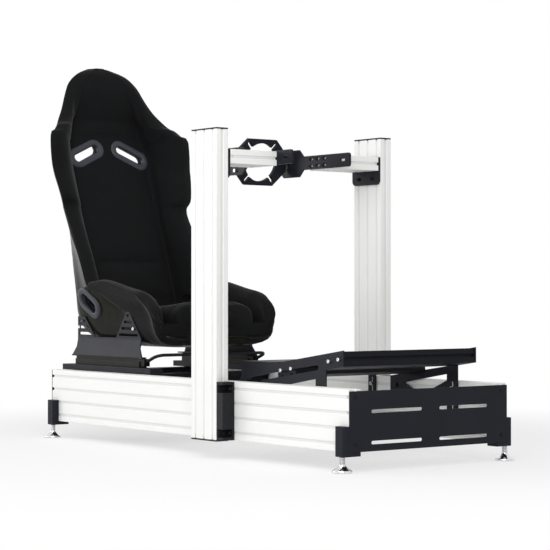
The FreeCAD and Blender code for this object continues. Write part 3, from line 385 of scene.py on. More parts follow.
def drawn_metal(name, colour, roughness, stretch, specular, metallic):
    """Bare or anodised metal with fine draw lines along its length."""
    finish = Finish(name, colour, roughness, metallic, Specular_IOR_Level=specular)
    lines = finish.noise(finish.place(stretch), 260.0, 3.0, 0.6)
    finish.shade(finish.noise(finish.place(), 22.0), 0.88, 1.10)
    finish.gloss(lines, roughness - 0.07, roughness + 0.09)
    finish.bump(lines, 0.10, 0.0002)


def chromed_steel(name, colour):
    finish = Finish(name, colour, 0.1, 1.0)
    place = finish.place()
    finish.shade(finish.noise(place, 60.0), 0.92, 1.04)
    finish.gloss(finish.noise(place, 140.0, 5.0), 0.05, 0.17)
    finish.bump(finish.noise(place, 900.0, 2.0), 0.04, 0.0002)


def phosphated_steel(name, colour):
    finish = Finish(name, colour, 0.5, 0.2, Specular_IOR_Level=0.14)
    place = finish.place()
    finish.shade(finish.noise(place, 55.0, 5.0), 0.75, 1.30)
    crystals = finish.noise(place, 1300.0, 4.0, 0.7)
    finish.gloss(crystals, 0.38, 0.60)
    finish.bump(crystals, 0.18, 0.0003)


def gel_coat(name, colour):
    """Glossy pigmented laminate with faint long waves from its mould."""
    finish = Finish(name, colour, 0.24, Specular_IOR_Level=0.05)
    place = finish.place()
    finish.shade(finish.noise(place, 14.0), 0.88, 1.15)
    finish.gloss(finish.noise(place, 70.0, 4.0), 0.18, 0.30)
    waves = finish.bump(finish.noise(place, 16.0, 2.0), 0.06, 0.002)
    finish.bump(finish.noise(place, 700.0, 2.0), 0.05, 0.0002, waves)


def knitted_cover(name, colour):
    """Fine spacer knit: small even cells with a soft nap over them and slow changes of tone."""
    finish = Finish(name, colour, 0.80, Specular_IOR_Level=0.14, Sheen_Weight=0.12,
                    Sheen_Roughness=0.35)
    place = finish.place()
    knit = finish.cells(place, 430.0, 0.35)
    finish.shade(finish.noise(place, 24.0, 4.0), 0.78, 1.24)
    finish.gloss(knit, 0.72, 0.88)
    weave = finish.bump(knit, 0.30, 0.0006)
    finish.bump(finish.noise(place, 42.0, 3.0), 0.09, 0.002, weave)


def sewing_thread(name, colour):
    finish = Finish(name, colour, 0.7, Specular_IOR_Level=0.15)
    place = finish.place()
    strands = finish.noise(place, 2400.0, 2.0)
    finish.shade(strands, 0.75, 1.3)
    finish.gloss(strands, 0.5, 0.7)
    finish.bump(strands, 0.2, 0.0002)


def finish_named(name):
    return bpy.data.materials["finish_" + name]


def placed(name, data):
    """A new object in the scene."""
    made = bpy.data.objects.new(name, data)
    bpy.context.scene.collection.objects.link(made)
    return made


def new_piece(name, mesh, body, slot, finish=None, smooth=50.0):
    """Puts a finished mesh in the scene on its body, with its finish."""
    piece = placed(name, mesh)
    mesh.materials.clear()
    mesh.materials.append(finish_named(finish or slot))
    for polygon in mesh.polygons:
        polygon.use_smooth = True
    mesh.set_sharp_from_angle(angle=math.radians(smooth))
    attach(piece, body)
    return piece


def facing_out(mesh):
    """Turns every face of a closed mesh outwards."""
    shape = bmesh.new()
    shape.from_mesh(mesh)
    bmesh.ops.recalc_face_normals(shape, faces=shape.faces)
    shape.to_mesh(mesh)
    shape.free()
    return mesh


def mesh_from(name, points, faces):
    mesh = bpy.data.meshes.new(name)
    mesh.from_pydata(points, [], faces)
    mesh.validate()
    return facing_out(mesh)


def evaluated(piece):
    """A plain mesh of an object with its modifiers worked out."""
    bpy.context.view_layer.update()
    return bpy.data.meshes.new_from_object(piece.evaluated_get(bpy.context.evaluated_depsgraph_get()))


def softened(node, radius, segments, body, slot, sharp=38.0):
    """A copy of a solid with rounded edges, which stands for it."""
    shape = bmesh.new()
    shape.from_mesh(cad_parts[node].data)
    bmesh.ops.remove_doubles(shape, verts=shape.verts, dist=1e-6)
    bmesh.ops.dissolve_limit(shape, angle_limit=math.radians(0.6), verts=shape.verts, edges=shape.edges)
    edges = []
    for edge in shape.edges:
        if len(edge.link_faces) == 2 and edge.calc_face_angle(0.0) > math.radians(sharp):
            edges.append(edge)
    bmesh.ops.bevel(shape, geom=edges, offset=radius, offset_type="OFFSET", segments=segments,
                    profile=0.5, affect="EDGES", clamp_overlap=True)
    bmesh.ops.recalc_face_normals(shape, faces=shape.faces)
    name = node + "_finished"
    mesh = bpy.data.meshes.new(name)
    shape.to_mesh(mesh)
    shape.free()
    piece = new_piece(name, mesh, body, slot)
    weighted = piece.modifiers.new("Flat faces", "WEIGHTED_NORMAL")
    weighted.keep_sharp = True
    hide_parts(node)


def both_sides(name):
    return [name + "_right", name + "_left"]


def corner_cut(line, rounds):
    """The line with its corners cut off this many times; its ends stay."""
    for _ in range(rounds):
        cut = [line[0]]
        for a, b in zip(line, line[1:]):
            cut += [a.lerp(b, 0.25), a.lerp(b, 0.75)]
        line = cut[:1] + cut[2:-1] + line[-1:]
    return line


def distances(line):
    """How far along the line each of its points is."""
    runs = [0.0]
    for a, b in zip(line, line[1:]):
        runs.append(runs[-1] + (b - a).length)
    return runs


class SeatPlace:
    """A place on the seat's middle line, with half the seat's section there, in millimetres."""

    def __init__(self, values):
        x, z, heading, rim_w, rim_d, knee_w, knee_d, wall_w, wall_d, floor_w, thick, hem, tray = values
        turn = math.radians(heading)
        self.start = Vector((x, 0, z))
        self.outward = Vector((math.sin(turn), 0, -math.cos(turn)))
        self.corners = [Vector((rim_w, rim_d)), Vector((knee_w, knee_d)), Vector((wall_w, wall_d)),
                        Vector((floor_w, -thick)), Vector((0, -thick))]
        self.rim = self.corners[0]
        self.tray = min(max(tray, 0.0), thick - SHELL_T - 5)
        self.pad_w = min(PAD_HALF_W, floor_w - SHELL_T)
        self.nose = min(max((x - SEAT_FRONT_X) / BOLSTER_NOSE_L + 1, 0.0), 1.0)
        self.full = min(max((z - HEAD_FULL_FROM_Z) / (HEAD_FULL_TO_Z - HEAD_FULL_FROM_Z), 0.0), 1.0)
        self.side = corner_cut(self.corners, 2)
        self.side_runs = distances(self.side)
        corner_runs = distances(self.corners)
        hem = min(max(hem, 0.0), len(corner_runs) - 1.2)
        first = int(hem)
        run = corner_runs[first] + (hem - first) * (corner_runs[first + 1] - corner_runs[first])
        self.hem_run = run * self.side_runs[-1] / corner_runs[-1]

    def point(self, across, out, ahead=0.0):
        """A model point in metres, across the seat and out from the padded surface."""
        spot = self.start + self.outward * out + Vector((-self.outward.z, 0, self.outward.x)) * ahead
        return Vector((spot.x, across, spot.z)) * MM

    def on_side(self, run, off):
        """A point on the shell's outside, this far down from the rim, moved outwards by off."""
        last = len(self.side) - 1
        i = next((i for i in range(1, last) if self.side_runs[i] >= run), last)
        before, after = self.side[i - 1], self.side[i]
        share = (run - self.side_runs[i - 1]) / (self.side_runs[i] - self.side_runs[i - 1])
        way = (after - before).normalized()
        return before.lerp(after, share) + Vector((-way.y, way.x)) * off

    def inside(self, inset):
        """The shell's inside from rim to floor middle, inset from its outside."""
        line = [corner - Vector((inset, 0)) for corner in self.corners[:3]]
        line.append(self.corners[3] + Vector((-inset / 2, inset)))
        line.append(self.corners[4] + Vector((0, inset)))
        return line

    def shell_line(self):
        """The shell's half section: its outside, sunk under the cover, and its inside."""
        outside = []
        for i in range(HEM_STEPS):
            outside.append(self.on_side(self.hem_run * i / HEM_STEPS, -COVER_SINK))
        bare = self.side_runs[-1] - self.hem_run
        for i in range(SHELL_STEPS + 1):
            outside.append(self.on_side(self.hem_run + bare * i / SHELL_STEPS, 0.0))
        return outside, corner_cut(self.inside(SHELL_T), 2)

    def cover_line(self, proud, crease, middle):
        """The cover's outside from its hem over the bolster to the middle.

        The third value of each point says how firmly the cover is held there.
        """
        hem = []
        for i in range(HEM_STEPS):
            share = i / HEM_STEPS
            off = proud if i > 1 else (-COVER_SINK / 3, 0.7 * proud)[i]
            hem.append(self.on_side(self.hem_run * (1 - share), off).to_3d())
            hem[-1].z = max(0.0, 1.0 - 0.8 * share)
        up = (self.rim - self.corners[1]).normalized()
        off = Vector((up.y, -up.x))
        crown_w = self.rim.x - CROWN_INSET
        crown_d = max(self.rim.y + CROWN_RISE, CROWN_RISE / 2) - BOLSTER_NOSE_DROP * self.nose ** 1.5
        foot = self.pad_w + 1 + BOLSTER_NOSE_SPREAD * self.nose
        slope = crown_w - foot
        low = -self.tray
        crease *= 1 - self.full
        buried = min(1.0, self.tray / 10)
        rim_side = self.rim + off * proud
        rim_top = self.rim - off + up * RIM_ROLL
        top = [(rim_side.x, rim_side.y, 0.1), (rim_top.x, rim_top.y, 0.0),
               (crown_w + CROWN_OUTER, crown_d + 0.5, 0.0), (crown_w - CROWN_INNER, crown_d, 0.0),
               (foot + SLOPE_SHARE * slope, SLOPE_HEIGHT * crown_d, 0.0),
               (foot + SLOPE_LOW[0] * slope, SLOPE_LOW[1] * crown_d, 0.0),
               (foot + SLOPE_FOOT[0] * slope, min(SLOPE_FOOT[1] * crown_d, 0.9 * low), 0.4),
               (foot, low - crease, 1.0), (foot - CREASE_W, low - 0.5 * crease, 0.9),
               (foot - PANEL_EDGE_W, low + 0.6 * middle, buried)]
        top += [(share * self.pad_w, low + middle, buried) for share in (0.6, 0.3, 0.0)]
        top = [Vector(p) for p in top]
        for p in top[4:]:
            p.y += self.full * (crown_d + middle - p.y)
        return hem + corner_cut(top, 2)

    def lining_line(self):
        """The cover's hidden inside, from the hem round the rim and down the shell to the middle."""
        sink = -COVER_SINK + LINING_GAP
        line = [self.on_side(self.hem_run * (1 - share), sink) for share in (0.0, 0.34, 0.67, 1.0)]
        line.append(self.rim + Vector((-SHELL_T / 2 - COVER_SINK / 2, 2 * LINING_GAP)))
        return line + self.inside(SHELL_T + LINING_GAP)

    def cushion_line(self, half_w, crown, steps):
        """The loose cushion's closed section: flat below, crowned above, sides rounded."""
        low = 1.0 - self.tray
        ring = []
        for i in range(steps):
            turn = 2 * math.pi * i / steps
            c, s = math.cos(turn), math.sin(turn)
            across = half_w * math.copysign(abs(c) ** 0.35, c)
            share = 0.5 + 0.5 * math.copysign(abs(s) ** 0.55, s)
            fall = crown * (across / half_w) ** 2 if s > 0 else 0.0
            ring.append(Vector((across, low + (crown - low) * share - fall)))
        return ring


def straight_values(x, z, heading, length, sections):
    turn = math.radians(heading)
    run, rise = length * math.cos(turn), length * math.sin(turn)
    return [(x + share * run, z + share * rise, heading, *section) for share, *section in sections]


def roll_values(heading):
    values = []
    for share, *section in ROLL_SECTIONS:
        turn = math.radians(90 * share)
        values.append((SEAT_FRONT_X - FRONT_ROLL_L * (1 - math.cos(turn)),
                       SEAT_FRONT_Z + FRONT_ROLL_H * math.sin(turn), heading, *section))
    return values


def hip_values(last, heading, upright):
    turn = math.radians(last[2])
    centre_x = last[0] + HIP_RADIUS * math.sin(turn)
    centre_z = last[1] - HIP_RADIUS * math.cos(turn)
    values = []
    for share, *section in HIP_SECTIONS:
        bend = heading + share * (upright - heading)
        turn = math.radians(bend)
        values.append((centre_x - HIP_RADIUS * math.sin(turn), centre_z + HIP_RADIUS * math.cos(turn),
                       bend, *section))
    return values


def seat_values():
    """Every written section with its place, from the front edge up to the top of the head."""
    heading = 180 + CUSHION_SLOPE
    upright = 90 + BACK_RECLINE
    values = roll_values(heading)
    values += straight_values(SEAT_FRONT_X - FRONT_ROLL_L, SEAT_FRONT_Z + FRONT_ROLL_H, heading,
                              CUSHION_LENGTH, CUSHION_SECTIONS)
    values += hip_values(values[-1], heading, upright)
    values += straight_values(*values[-1][:2], upright, BACK_LENGTH, BACK_SECTIONS)
    values += straight_values(*values[-1][:2], 90 + HEAD_RECLINE, HEAD_LENGTH, HEAD_SECTIONS)
    return values


def between(before, start, end, after, t):
    """Values at share t from start to end, on a smooth curve through them and their neighbours."""
    row = []
    for a, b, c, d in zip(before, start, end, after):
        row.append(b + 0.5 * t * (c - a + t * (2 * a - 5 * b + 4 * c - d + t * (3 * (b - c) + d - a))))
    return row


def seat_places():
    """Places along the whole seat, about SEAT_RING_PITCH apart."""
    values = seat_values()
    padded = values[:1] + values + values[-1:]
    places = []
    for before, start, end, after in zip(padded, padded[1:], padded[2:], padded[3:]):
        gap = math.hypot(end[0] - start[0], end[1] - start[1])
        steps = max(2, round(gap / SEAT_RING_PITCH))
        places += [SeatPlace(between(before, start, end, after, i / steps)) for i in range(steps)]
    places.append(SeatPlace(values[-1]))
    return places


def mirrored_line(line):
    """A half section from the right edge to the middle, carried on to the left edge."""
    left = [p.copy() for p in reversed(line[:-1])]
    right = [p.copy() for p in line]
    for p in right:
        p.x = -p.x
    return right + left


def domed(place, ring, ahead, insets):
    """Rings that round off the end of a sweep, each further in and further ahead."""
    middle = Vector((0.0, sum(p.y for p in ring) / len(ring)))
    half = max(p.x for p in ring)
    domes = []
    for inset in insets:
        rise = math.sqrt(1 - (1 - inset / insets[-1]) ** 2)
        flat = [middle + (p.to_2d() - middle) * (1 - inset / half) for p in ring]
        domes.append([place.point(p.x, p.y, rise * ahead) for p in flat])
    return domes


def sweep(name, rings):
    """A closed mesh through rings of equal length, with both ends filled."""
    count = len(rings[0])
    points = [p for ring in rings for p in ring]
    faces = []
    for i in range(len(rings) - 1):
        for j in range(count):
            k = (j + 1) % count
            faces.append((i * count + j, i * count + k, (i + 1) * count + k, (i + 1) * count + j))
    last = (len(rings) - 1) * count
    faces.append(tuple(range(count))[::-1])
    faces.append(tuple(range(last, last + count)))
    return mesh_from(name, points, faces)


def carved(mesh, cutters, name):
    """The mesh with closed cutter meshes taken out of it."""
    body = placed(name + "_blank", mesh)
    tools = []
    for cutter in cutters:
        tool = placed(name + "_cutter", cutter)
        cut = body.modifiers.new("Cut", "BOOLEAN")
        cut.operation = "DIFFERENCE"
        cut.solver = "EXACT"
        cut.object = tool
        tools.append(tool)
    result = evaluated(body)
    for tool in tools + [body]:
        bpy.data.objects.remove(tool)
    result.name = name
    return result


def inflated(mesh, held, pressure, most):
    """The mesh blown up as cloth, each point kept within a distance and the held points still."""
    scene = bpy.context.scene
    balloon = placed("balloon", mesh)
    rest = [vertex.co.copy() for vertex in mesh.vertices]
    cloth = balloon.modifiers.new("Cloth", "CLOTH")
    cloth.settings.use_pressure = True
    cloth.settings.uniform_pressure_force = pressure
    cloth.settings.effector_weights.gravity = 0.0
    cloth.point_cache.frame_start = 1
    cloth.point_cache.frame_end = CLOTH_FRAMES
    if held:
        pins = balloon.vertex_groups.new(name="held")
        for index, weight in enumerate(held):
            pins.add([index], weight, "REPLACE")
        cloth.settings.vertex_group_mass = "held"
    for step in range(CLOTH_FRAMES):
        scene.frame_set(step + 1)
    result = evaluated(balloon)
    scene.frame_set(1)
    bpy.data.objects.remove(balloon)
    for vertex, start in zip(result.vertices, rest):
        move = vertex.co - start
        if move.length > most:
            vertex.co = start + move.normalized() * most
    return result


def even_mesh(mesh, size):
    """The mesh with its faces remade as even squares."""
    lump = placed("lump", mesh)
    remesh = lump.modifiers.new("Even mesh", "REMESH")
    remesh.mode = "VOXEL"
    remesh.voxel_size = size
    result = evaluated(lump)
    bpy.data.objects.remove(lump)
    return result


def stadium(length, width, steps):
    """Outline of a slot with round ends, long way along the first axis."""
    radius = width / 2
    middle = length / 2 - radius
    right = []
    for i in range(steps + 1):
        turn = math.pi * (i / steps - 0.5)
        right.append((middle + radius * math.cos(turn), radius * math.sin(turn)))
    return right + [(-x, -y) for x, y in right]


def tilted(outline, tilt):
    c, s = math.cos(math.radians(tilt)), math.sin(math.radians(tilt))
    return [(x * c - y * s, x * s + y * c) for x, y in outline]


def outline_with_ways(length, width, tilt):
    """Points of a slot's outline, each with the way out from the slot."""
    points = tilted(stadium(length, width, BEZEL_STEPS), tilt)
    wider = tilted(stadium(length + 2, width + 2, BEZEL_STEPS), tilt)
    return [(p, (w[0] - p[0], w[1] - p[1])) for p, w in zip(points, wider)]


def back_frame(side):
    """Middle of a harness slot, and the ways across, up and out of the back there, in millimetres."""
    top = SeatPlace(seat_values()[-len(HEAD_SECTIONS) - 1])
    recline = math.radians(BACK_RECLINE)
    up = Vector((-math.sin(recline), 0, math.cos(recline)))
    out = Vector((math.cos(recline), 0, math.sin(recline)))
    middle = top.start + Vector((0, side * BELT_SLOT_Y, 0)) - up * BELT_SLOT_DOWN
    return middle, Vector((0, -side, 0)), up, out


def prism_between(name, near, far):
    count = len(near)
    faces = [tuple(range(count))[::-1], tuple(range(count, 2 * count))]
    faces += [(i, (i + 1) % count, count + (i + 1) % count, count + i) for i in range(count)]
    return mesh_from(name, near + far, faces)


def lap_cutter(side, border, inner_y):
    """A prism out through the seat's side, wider than a lap slot by a border."""
    outline = tilted(stadium(LAP_SLOT_L + 2 * border, LAP_SLOT_W + 2 * border, SLOT_CUT_STEPS),
                     LAP_SLOT_TILT)
    face = [Vector((LAP_SLOT_X + x, 0, LAP_SLOT_Z + y)) for x, y in outline]
    return prism_between("lap_way", [(p + Vector((0, side * inner_y, 0))) * MM for p in face],
                         [(p + Vector((0, side * LAP_CUT_OUTER_Y, 0))) * MM for p in face])


def belt_cutters(lap_border):
    """Prisms through the seat at the two harness slots and the two lap slots."""
    cutters = []
    extra = 2 * BELT_WAY_EXTRA
    reach = Vector((BELT_WAY_REACH, 0, 0))
    for side in (RIGHT, LEFT):
        middle, across, _, _ = back_frame(side)
        outline = tilted(stadium(BELT_SLOT_L + extra, BELT_SLOT_W + extra, SLOT_CUT_STEPS),
                         BELT_SLOT_TILT)
        face = [middle + across * x + Vector((0, 0, y)) for x, y in outline]
        cutters.append(prism_between("harness_way", [(p + reach) * MM for p in face],
                                     [(p - reach) * MM for p in face]))
        cutters.append(lap_cutter(side, lap_border, LAP_CUT_INNER_Y))
    return cutters


def bezel_ring(outline, rims, lay):
    """A moulded ring: rims are (border, height) pairs from the slot's edge outwards and back under."""
    points = []
    for border, height in rims:
        for (x, y), (dx, dy) in outline:
            points.append(lay(x + dx * border, y + dy * border, height))
    count = len(outline)
    faces = []
    for i in range(len(rims)):
        j = (i + 1) % len(rims)
        for a in range(count):
            b = (a + 1) % count
            faces.append((i * count + a, i * count + b, j * count + b, j * count + a))
    return mesh_from("bezel", points, faces)


def surface_of(piece):
    shape = bmesh.new()
    shape.from_mesh(piece.data)
    tree = BVHTree.FromBMesh(shape)
    shape.free()
    return tree


def on_surface(tree, point):
    """The nearest point of a surface, a little above it."""
    found = tree.find_nearest(point)
    return found[0] + found[1] * STITCH_LIFT


def turned(name, line, centre, steps):
    """A lathe-turned closed mesh on an outline of (radius, height) in millimetres."""
    points = []
    rows = []
    for radius, z in line:
        if radius == 0.0:
            rows.append([len(points)])
            points.append((centre[0], centre[1], z * MM))
            continue
        rows.append(list(range(len(points), len(points) + steps)))
        for i in range(steps):
            turn = 2 * math.pi * i / steps
            points.append((centre[0] + radius * MM * math.cos(turn),
                           centre[1] + radius * MM * math.sin(turn), z * MM))
    faces = []
    for low, high in zip(rows, rows[1:]):
        for i in range(steps):
            k = (i + 1) % steps
            if len(low) == 1:
                faces.append((low[0], high[k], high[i]))
            elif len(high) == 1:
                faces.append((low[i], low[k], high[0]))
            else:
                faces.append((low[i], low[k], high[k], high[i]))
    return mesh_from(name, points, faces)


class ShapeTree(TreeWork):
    """A geometry node tree under construction, with named inputs for its sizes and its finish."""

    def __init__(self, name, sizes):
        super().__init__(bpy.data.node_groups.new(name, "GeometryNodeTree"))
        self.sockets = {}
        self.socket("Geometry", "NodeSocketGeometry")
        self.tree.interface.new_socket(name="Geometry", in_out="OUTPUT",
                                       socket_type="NodeSocketGeometry")
        for size, default in sizes.items():
            self.socket(size, "NodeSocketFloat").default_value = default
        self.socket("Finish", "NodeSocketMaterial")
        self.inputs = self.node("NodeGroupInput").outputs

    def socket(self, name, kind):
        self.sockets[name] = self.tree.interface.new_socket(name=name, in_out="INPUT", socket_type=kind)
        return self.sockets[name]

    def drum(self, sides, radius, depth, lift):
        """An upright prism of this many sides, its middle at the lift."""
        drum = self.node("GeometryNodeMeshCylinder", {"Vertices": sides, "Radius": radius,
                                                      "Depth": depth})
        return self.raised(drum.outputs["Mesh"], lift)

    def raised(self, mesh, lift):
        way = self.node("ShaderNodeCombineXYZ", {"Z": lift}).outputs["Vector"]
        move = self.node("GeometryNodeTransform", {"Geometry": mesh, "Translation": way})
        return move.outputs["Geometry"]

    def facing(self, way, axis):
        """Rotation that turns an axis to the way."""
        turn = self.node("FunctionNodeAlignRotationToVector", {"Vector": way}, axis=axis)
        return turn.outputs["Rotation"]

    def close(self, geometry):
        real = self.node("GeometryNodeRealizeInstances", {"Geometry": geometry}).outputs["Geometry"]
        painted = self.node("GeometryNodeSetMaterial", {"Geometry": real,
                                                        "Material": self.inputs["Finish"]})
        self.node("NodeGroupOutput", {"Geometry": painted.outputs["Geometry"]})

    def grow(self, name, mesh, sizes, finish):
        """The plain mesh that this tree makes on a start mesh."""
        seed = placed(name + "_start", mesh)
        modifier = seed.modifiers.new("Grow", "NODES")
        modifier.node_group = self.tree
        for key, value in sizes.items():
            modifier[self.sockets[key].identifier] = value
        modifier[self.sockets["Finish"].identifier] = finish_named(finish)
        result = evaluated(seed)
        seed.modifiers.clear()
        bpy.data.objects.remove(seed)
        result.name = name
        return result


def cap_screw_tree(sizes):
    """Cap screws with a key socket and a washer, one on each point along its axis attribute."""
    work = ShapeTree("cap_screws", sizes)
    radius = work.work_out("MULTIPLY", work.inputs["Head Diameter"], 0.5)
    height = work.inputs["Head Height"]
    washer_t = work.inputs["Washer Thickness"]
    edge = work.work_out("MULTIPLY", height, SCREW_EDGE_SHARE)
    top = work.work_out("ADD", height, washer_t)
    head = work.drum(SCREW_SIDES, radius, height,
                     work.work_out("ADD", work.work_out("MULTIPLY", height, 0.5), washer_t))
    chamfer = work.node("GeometryNodeMeshCone", {"Vertices": SCREW_SIDES, "Radius Bottom": radius,
                                                 "Radius Top": work.work_out("SUBTRACT", radius, edge),
                                                 "Depth": edge}).outputs["Mesh"]
    whole = work.node("GeometryNodeMeshBoolean", {"Mesh 2": [head, work.raised(chamfer, top)]},
                      operation="UNION", solver="EXACT").outputs["Mesh"]
    key_radius = work.work_out("MULTIPLY", work.inputs["Socket Width"], HEXAGON_CORNER)
    key = work.drum(6, key_radius, height, work.work_out("ADD", top, edge))
    cut = work.node("GeometryNodeMeshBoolean", {"Mesh 1": whole, "Mesh 2": key},
                    operation="DIFFERENCE", solver="EXACT").outputs["Mesh"]
    washer_radius = work.work_out("MULTIPLY", work.inputs["Washer Diameter"], 0.5)
    washer = work.drum(WASHER_SIDES, washer_radius, washer_t, work.work_out("MULTIPLY", washer_t, 0.5))
    screw = work.node("GeometryNodeJoinGeometry", {"Geometry": [cut, washer]}).outputs["Geometry"]
    points = work.node("GeometryNodeMeshToPoints", {"Mesh": work.inputs["Geometry"]}).outputs["Points"]
    axis = work.node("GeometryNodeInputNamedAttribute", {"Name": "axis"}, data_type="FLOAT_VECTOR")
    screws = work.node("GeometryNodeInstanceOnPoints", {
        "Points": points, "Instance": screw, "Rotation": work.facing(axis.outputs["Attribute"], "Z")})
    work.close(screws.outputs["Instances"])
    return work


def stitch_tree(sizes):
    """Stitches laid end to end along the edges of a line."""
    work = ShapeTree("stitches", sizes)
    path = work.node("GeometryNodeMeshToCurve", {"Mesh": work.inputs["Geometry"]}).outputs["Curve"]
    pitch = work.inputs["Stitch Pitch"]
    spaced = work.node("GeometryNodeResampleCurve", {"Curve": path, "Length": pitch}, mode="LENGTH")
    bead = work.node("GeometryNodeMeshUVSphere", {"Segments": 6, "Rings": 5, "Radius": 0.5})
    tangent = work.node("GeometryNodeInputTangent").outputs["Tangent"]
    width = work.inputs["Stitch Width"]
    shape = work.node("ShaderNodeCombineXYZ", {"X": work.inputs["Stitch Length"], "Y": width,
                                               "Z": width})
    rows = work.node("GeometryNodeInstanceOnPoints", {
        "Points": spaced.outputs["Curve"], "Instance": bead.outputs["Mesh"],
        "Rotation": work.facing(tangent, "X"), "Scale": shape.outputs["Vector"]})
    work.close(rows.outputs["Instances"])
    return work


def screw_points(places):
    """A mesh of loose points on both sides, each with the way its screw's head points."""
    both = []
    for (x, y, z), (ax, ay, az) in places:
        both.append(((x, y, z), (ax, ay, az)))
        both.append(((x, -y, z), (ax, -ay, az)))
    mesh = bpy.data.meshes.new("screw_points")
    mesh.from_pydata([Vector(spot) * MM for spot, _ in both], [], [])
    axis = mesh.attributes.new("axis", "FLOAT_VECTOR", "POINT")
    for i, (_, way) in enumerate(both):
        axis.data[i].vector = way
    return mesh


class COCKPIT_OT_finishes(Operator):
    """Mix the finishes of every material slot"""
    bl_idname = "cockpit.finishes"
    bl_label = "Finishes"

    def execute(self, context):
        colours = context.scene.cockpit_finishes
        powder_coat("white_profile", colours.profile_white, 0.42, 0.30, 0.012)
        powder_coat("black_steel", colours.plate_black, 0.42, 0.11, 0.10)
        # Groove strips: painted shade of the recessed groove in a grey darker than the profile white
        moulded_plastic("groove_cover", colours.groove_cover, 0.50, 0.25, 0.012)
        moulded_plastic("black_plastic", colours.cap_black, 0.52, 0.18, 0.12)
        moulded_plastic("bezel_plastic", colours.bezel, 0.42, 0.30, 0.10)
        drawn_metal("black_profile", colours.profile_black, 0.46, (1.0, 0.02, 1.0), 0.10, 0.10)
        drawn_metal("bright_screw", colours.bright_screw, 0.24, (1.0, 1.0, 1.0), 0.5, 1.0)
        chromed_steel("foot_chrome", colours.chrome)
        phosphated_steel("slider_steel", colours.slider)
        phosphated_steel("bolt_steel", colours.dark_screw)
        gel_coat("seat_shell_gloss", colours.shell)
        knitted_cover("seat_fabric", colours.fabric)
        sewing_thread("thread", colours.thread)
        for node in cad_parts.values():
            node.data.materials.clear()
        return {"FINISHED"}


class COCKPIT_OT_profiles(Operator):
    """Finish the white rails, uprights and wheel beams with their strips and caps"""
    bl_idname = "cockpit.profiles"
    bl_label = "White profiles"

    def execute(self, context):
        fittings = context.scene.cockpit_fittings
        for node in both_sides("rail") + both_sides("upright") + both_sides("wheel_beam"):
            softened(node, fittings.profile_round, 2, "frame", "white_profile")
        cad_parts["groove_strips"].data.materials.append(finish_named("groove_cover"))
        softened("rail_end_caps", fittings.plate_round, 2, "frame", "black_plastic")
        softened("upright_caps", fittings.plate_round, 2, "frame", "black_plastic")
        return {"FINISHED"}


class COCKPIT_OT_front_end(Operator):
    """Finish the front plate, the corner and foot brackets and the levelling feet"""
    bl_idname = "cockpit.front_end"
    bl_label = "Front plate and feet"

    def execute(self, context):
        fittings = context.scene.cockpit_fittings
        softened("front_plate", fittings.plate_round, 2, "frame", "black_steel")
        for node in both_sides("upright_bracket"):
            softened(node, fittings.profile_round, 2, "frame", "black_plastic")
        softened("foot_brackets", fittings.profile_round, 3, "frame", "black_steel")
        self.turn_feet()
        return {"FINISHED"}

    def turn_feet(self):
        """Polished feet: a domed disc on a thin pad, a waist, a lock nut and a threaded stud."""
        feet = {}
        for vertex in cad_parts["levelling_feet"].data.vertices:
            feet.setdefault((vertex.co.x > 0, vertex.co.y > 0), []).append(vertex.co)
        line = list(FOOT_OUTLINE)
        z = FOOT_STUD_Z
        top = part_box("levelling_feet")[1].z / MM
        while z < top - FOOT_THREAD_PITCH:
            line += [(FOOT_STUD_R, z), (FOOT_STUD_R + FOOT_THREAD_DEPTH, z + FOOT_THREAD_RISE),
                     (FOOT_STUD_R, z + 2 * FOOT_THREAD_RISE)]
            z += FOOT_THREAD_PITCH
        line += [(FOOT_STUD_R, top), (0.0, top)]
        for (ahead, left), spots in feet.items():
            x = sum(p.x for p in spots) / len(spots)
            y = sum(p.y for p in spots) / len(spots)
            name = "levelling_foot_" + ("front_" if ahead else "rear_") + ("left" if left else "right")
            piece = new_piece(name, turned(name, line, (x, y), 48), "frame", "foot_chrome", smooth=40.0)
            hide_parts("levelling_feet")


class COCKPIT_OT_wheel_mount(Operator):
    """Finish the wheel mount's plates and its pivot bolts"""
    bl_idname = "cockpit.wheel_mount"
    bl_label = "Wheel mount"

    def execute(self, context):
        fittings = context.scene.cockpit_fittings
        for node in both_sides("beam_plate") + both_sides("wheel_side_plate"):
            softened(node, fittings.plate_round, 2, "frame", "black_steel")
        softened("wheel_plate", fittings.plate_round, 2, "wheel", "black_steel")
        softened("pivot_bolts", fittings.plate_round / 2, 2, "frame", "bolt_steel")
        return {"FINISHED"}


class COCKPIT_OT_pedal_tray(Operator):
    """Finish the pedal tray's side plates, beams and heel plate"""
    bl_idname = "cockpit.pedal_tray"
    bl_label = "Pedal tray"

    def execute(self, context):
        fittings = context.scene.cockpit_fittings
        for node in both_sides("tray_side") + ["heel_plate"]:
            softened(node, fittings.plate_round, 2, "tray", "black_steel")
        for node in ("tray_beam_front", "tray_beam_mid"):
            softened(node, fittings.profile_round, 2, "tray", "black_profile")
        return {"FINISHED"}


class COCKPIT_OT_seat_carriage(Operator):
    """Finish the cross bars, base bars, sliders, brackets and lever under the seat"""
    bl_idname = "cockpit.seat_carriage"
    bl_label = "Seat carriage"

    def execute(self, context):
        fittings = context.scene.cockpit_fittings
        for node in ("seat_crossbar_rear", "seat_crossbar_front"):
            softened(node, fittings.profile_round, 2, "frame", "black_profile")
        for node in both_sides("seat_base_bar"):
            softened(node, fittings.profile_round, 2, "frame", "black_steel")
        for node in both_sides("slider_rail"):
            softened(node, fittings.plate_round, 2, "frame", "slider_steel")
        for node in both_sides("slider_runner"):
            softened(node, fittings.plate_round, 2, "seat", "slider_steel")
        for node in both_sides("seat_bracket"):
            softened(node, fittings.plate_round, 2, "seat", "black_steel")
        softened("slider_lever", fittings.plate_round / 2, 1, "lever", "black_steel", sharp=48.0)
        return {"FINISHED"}


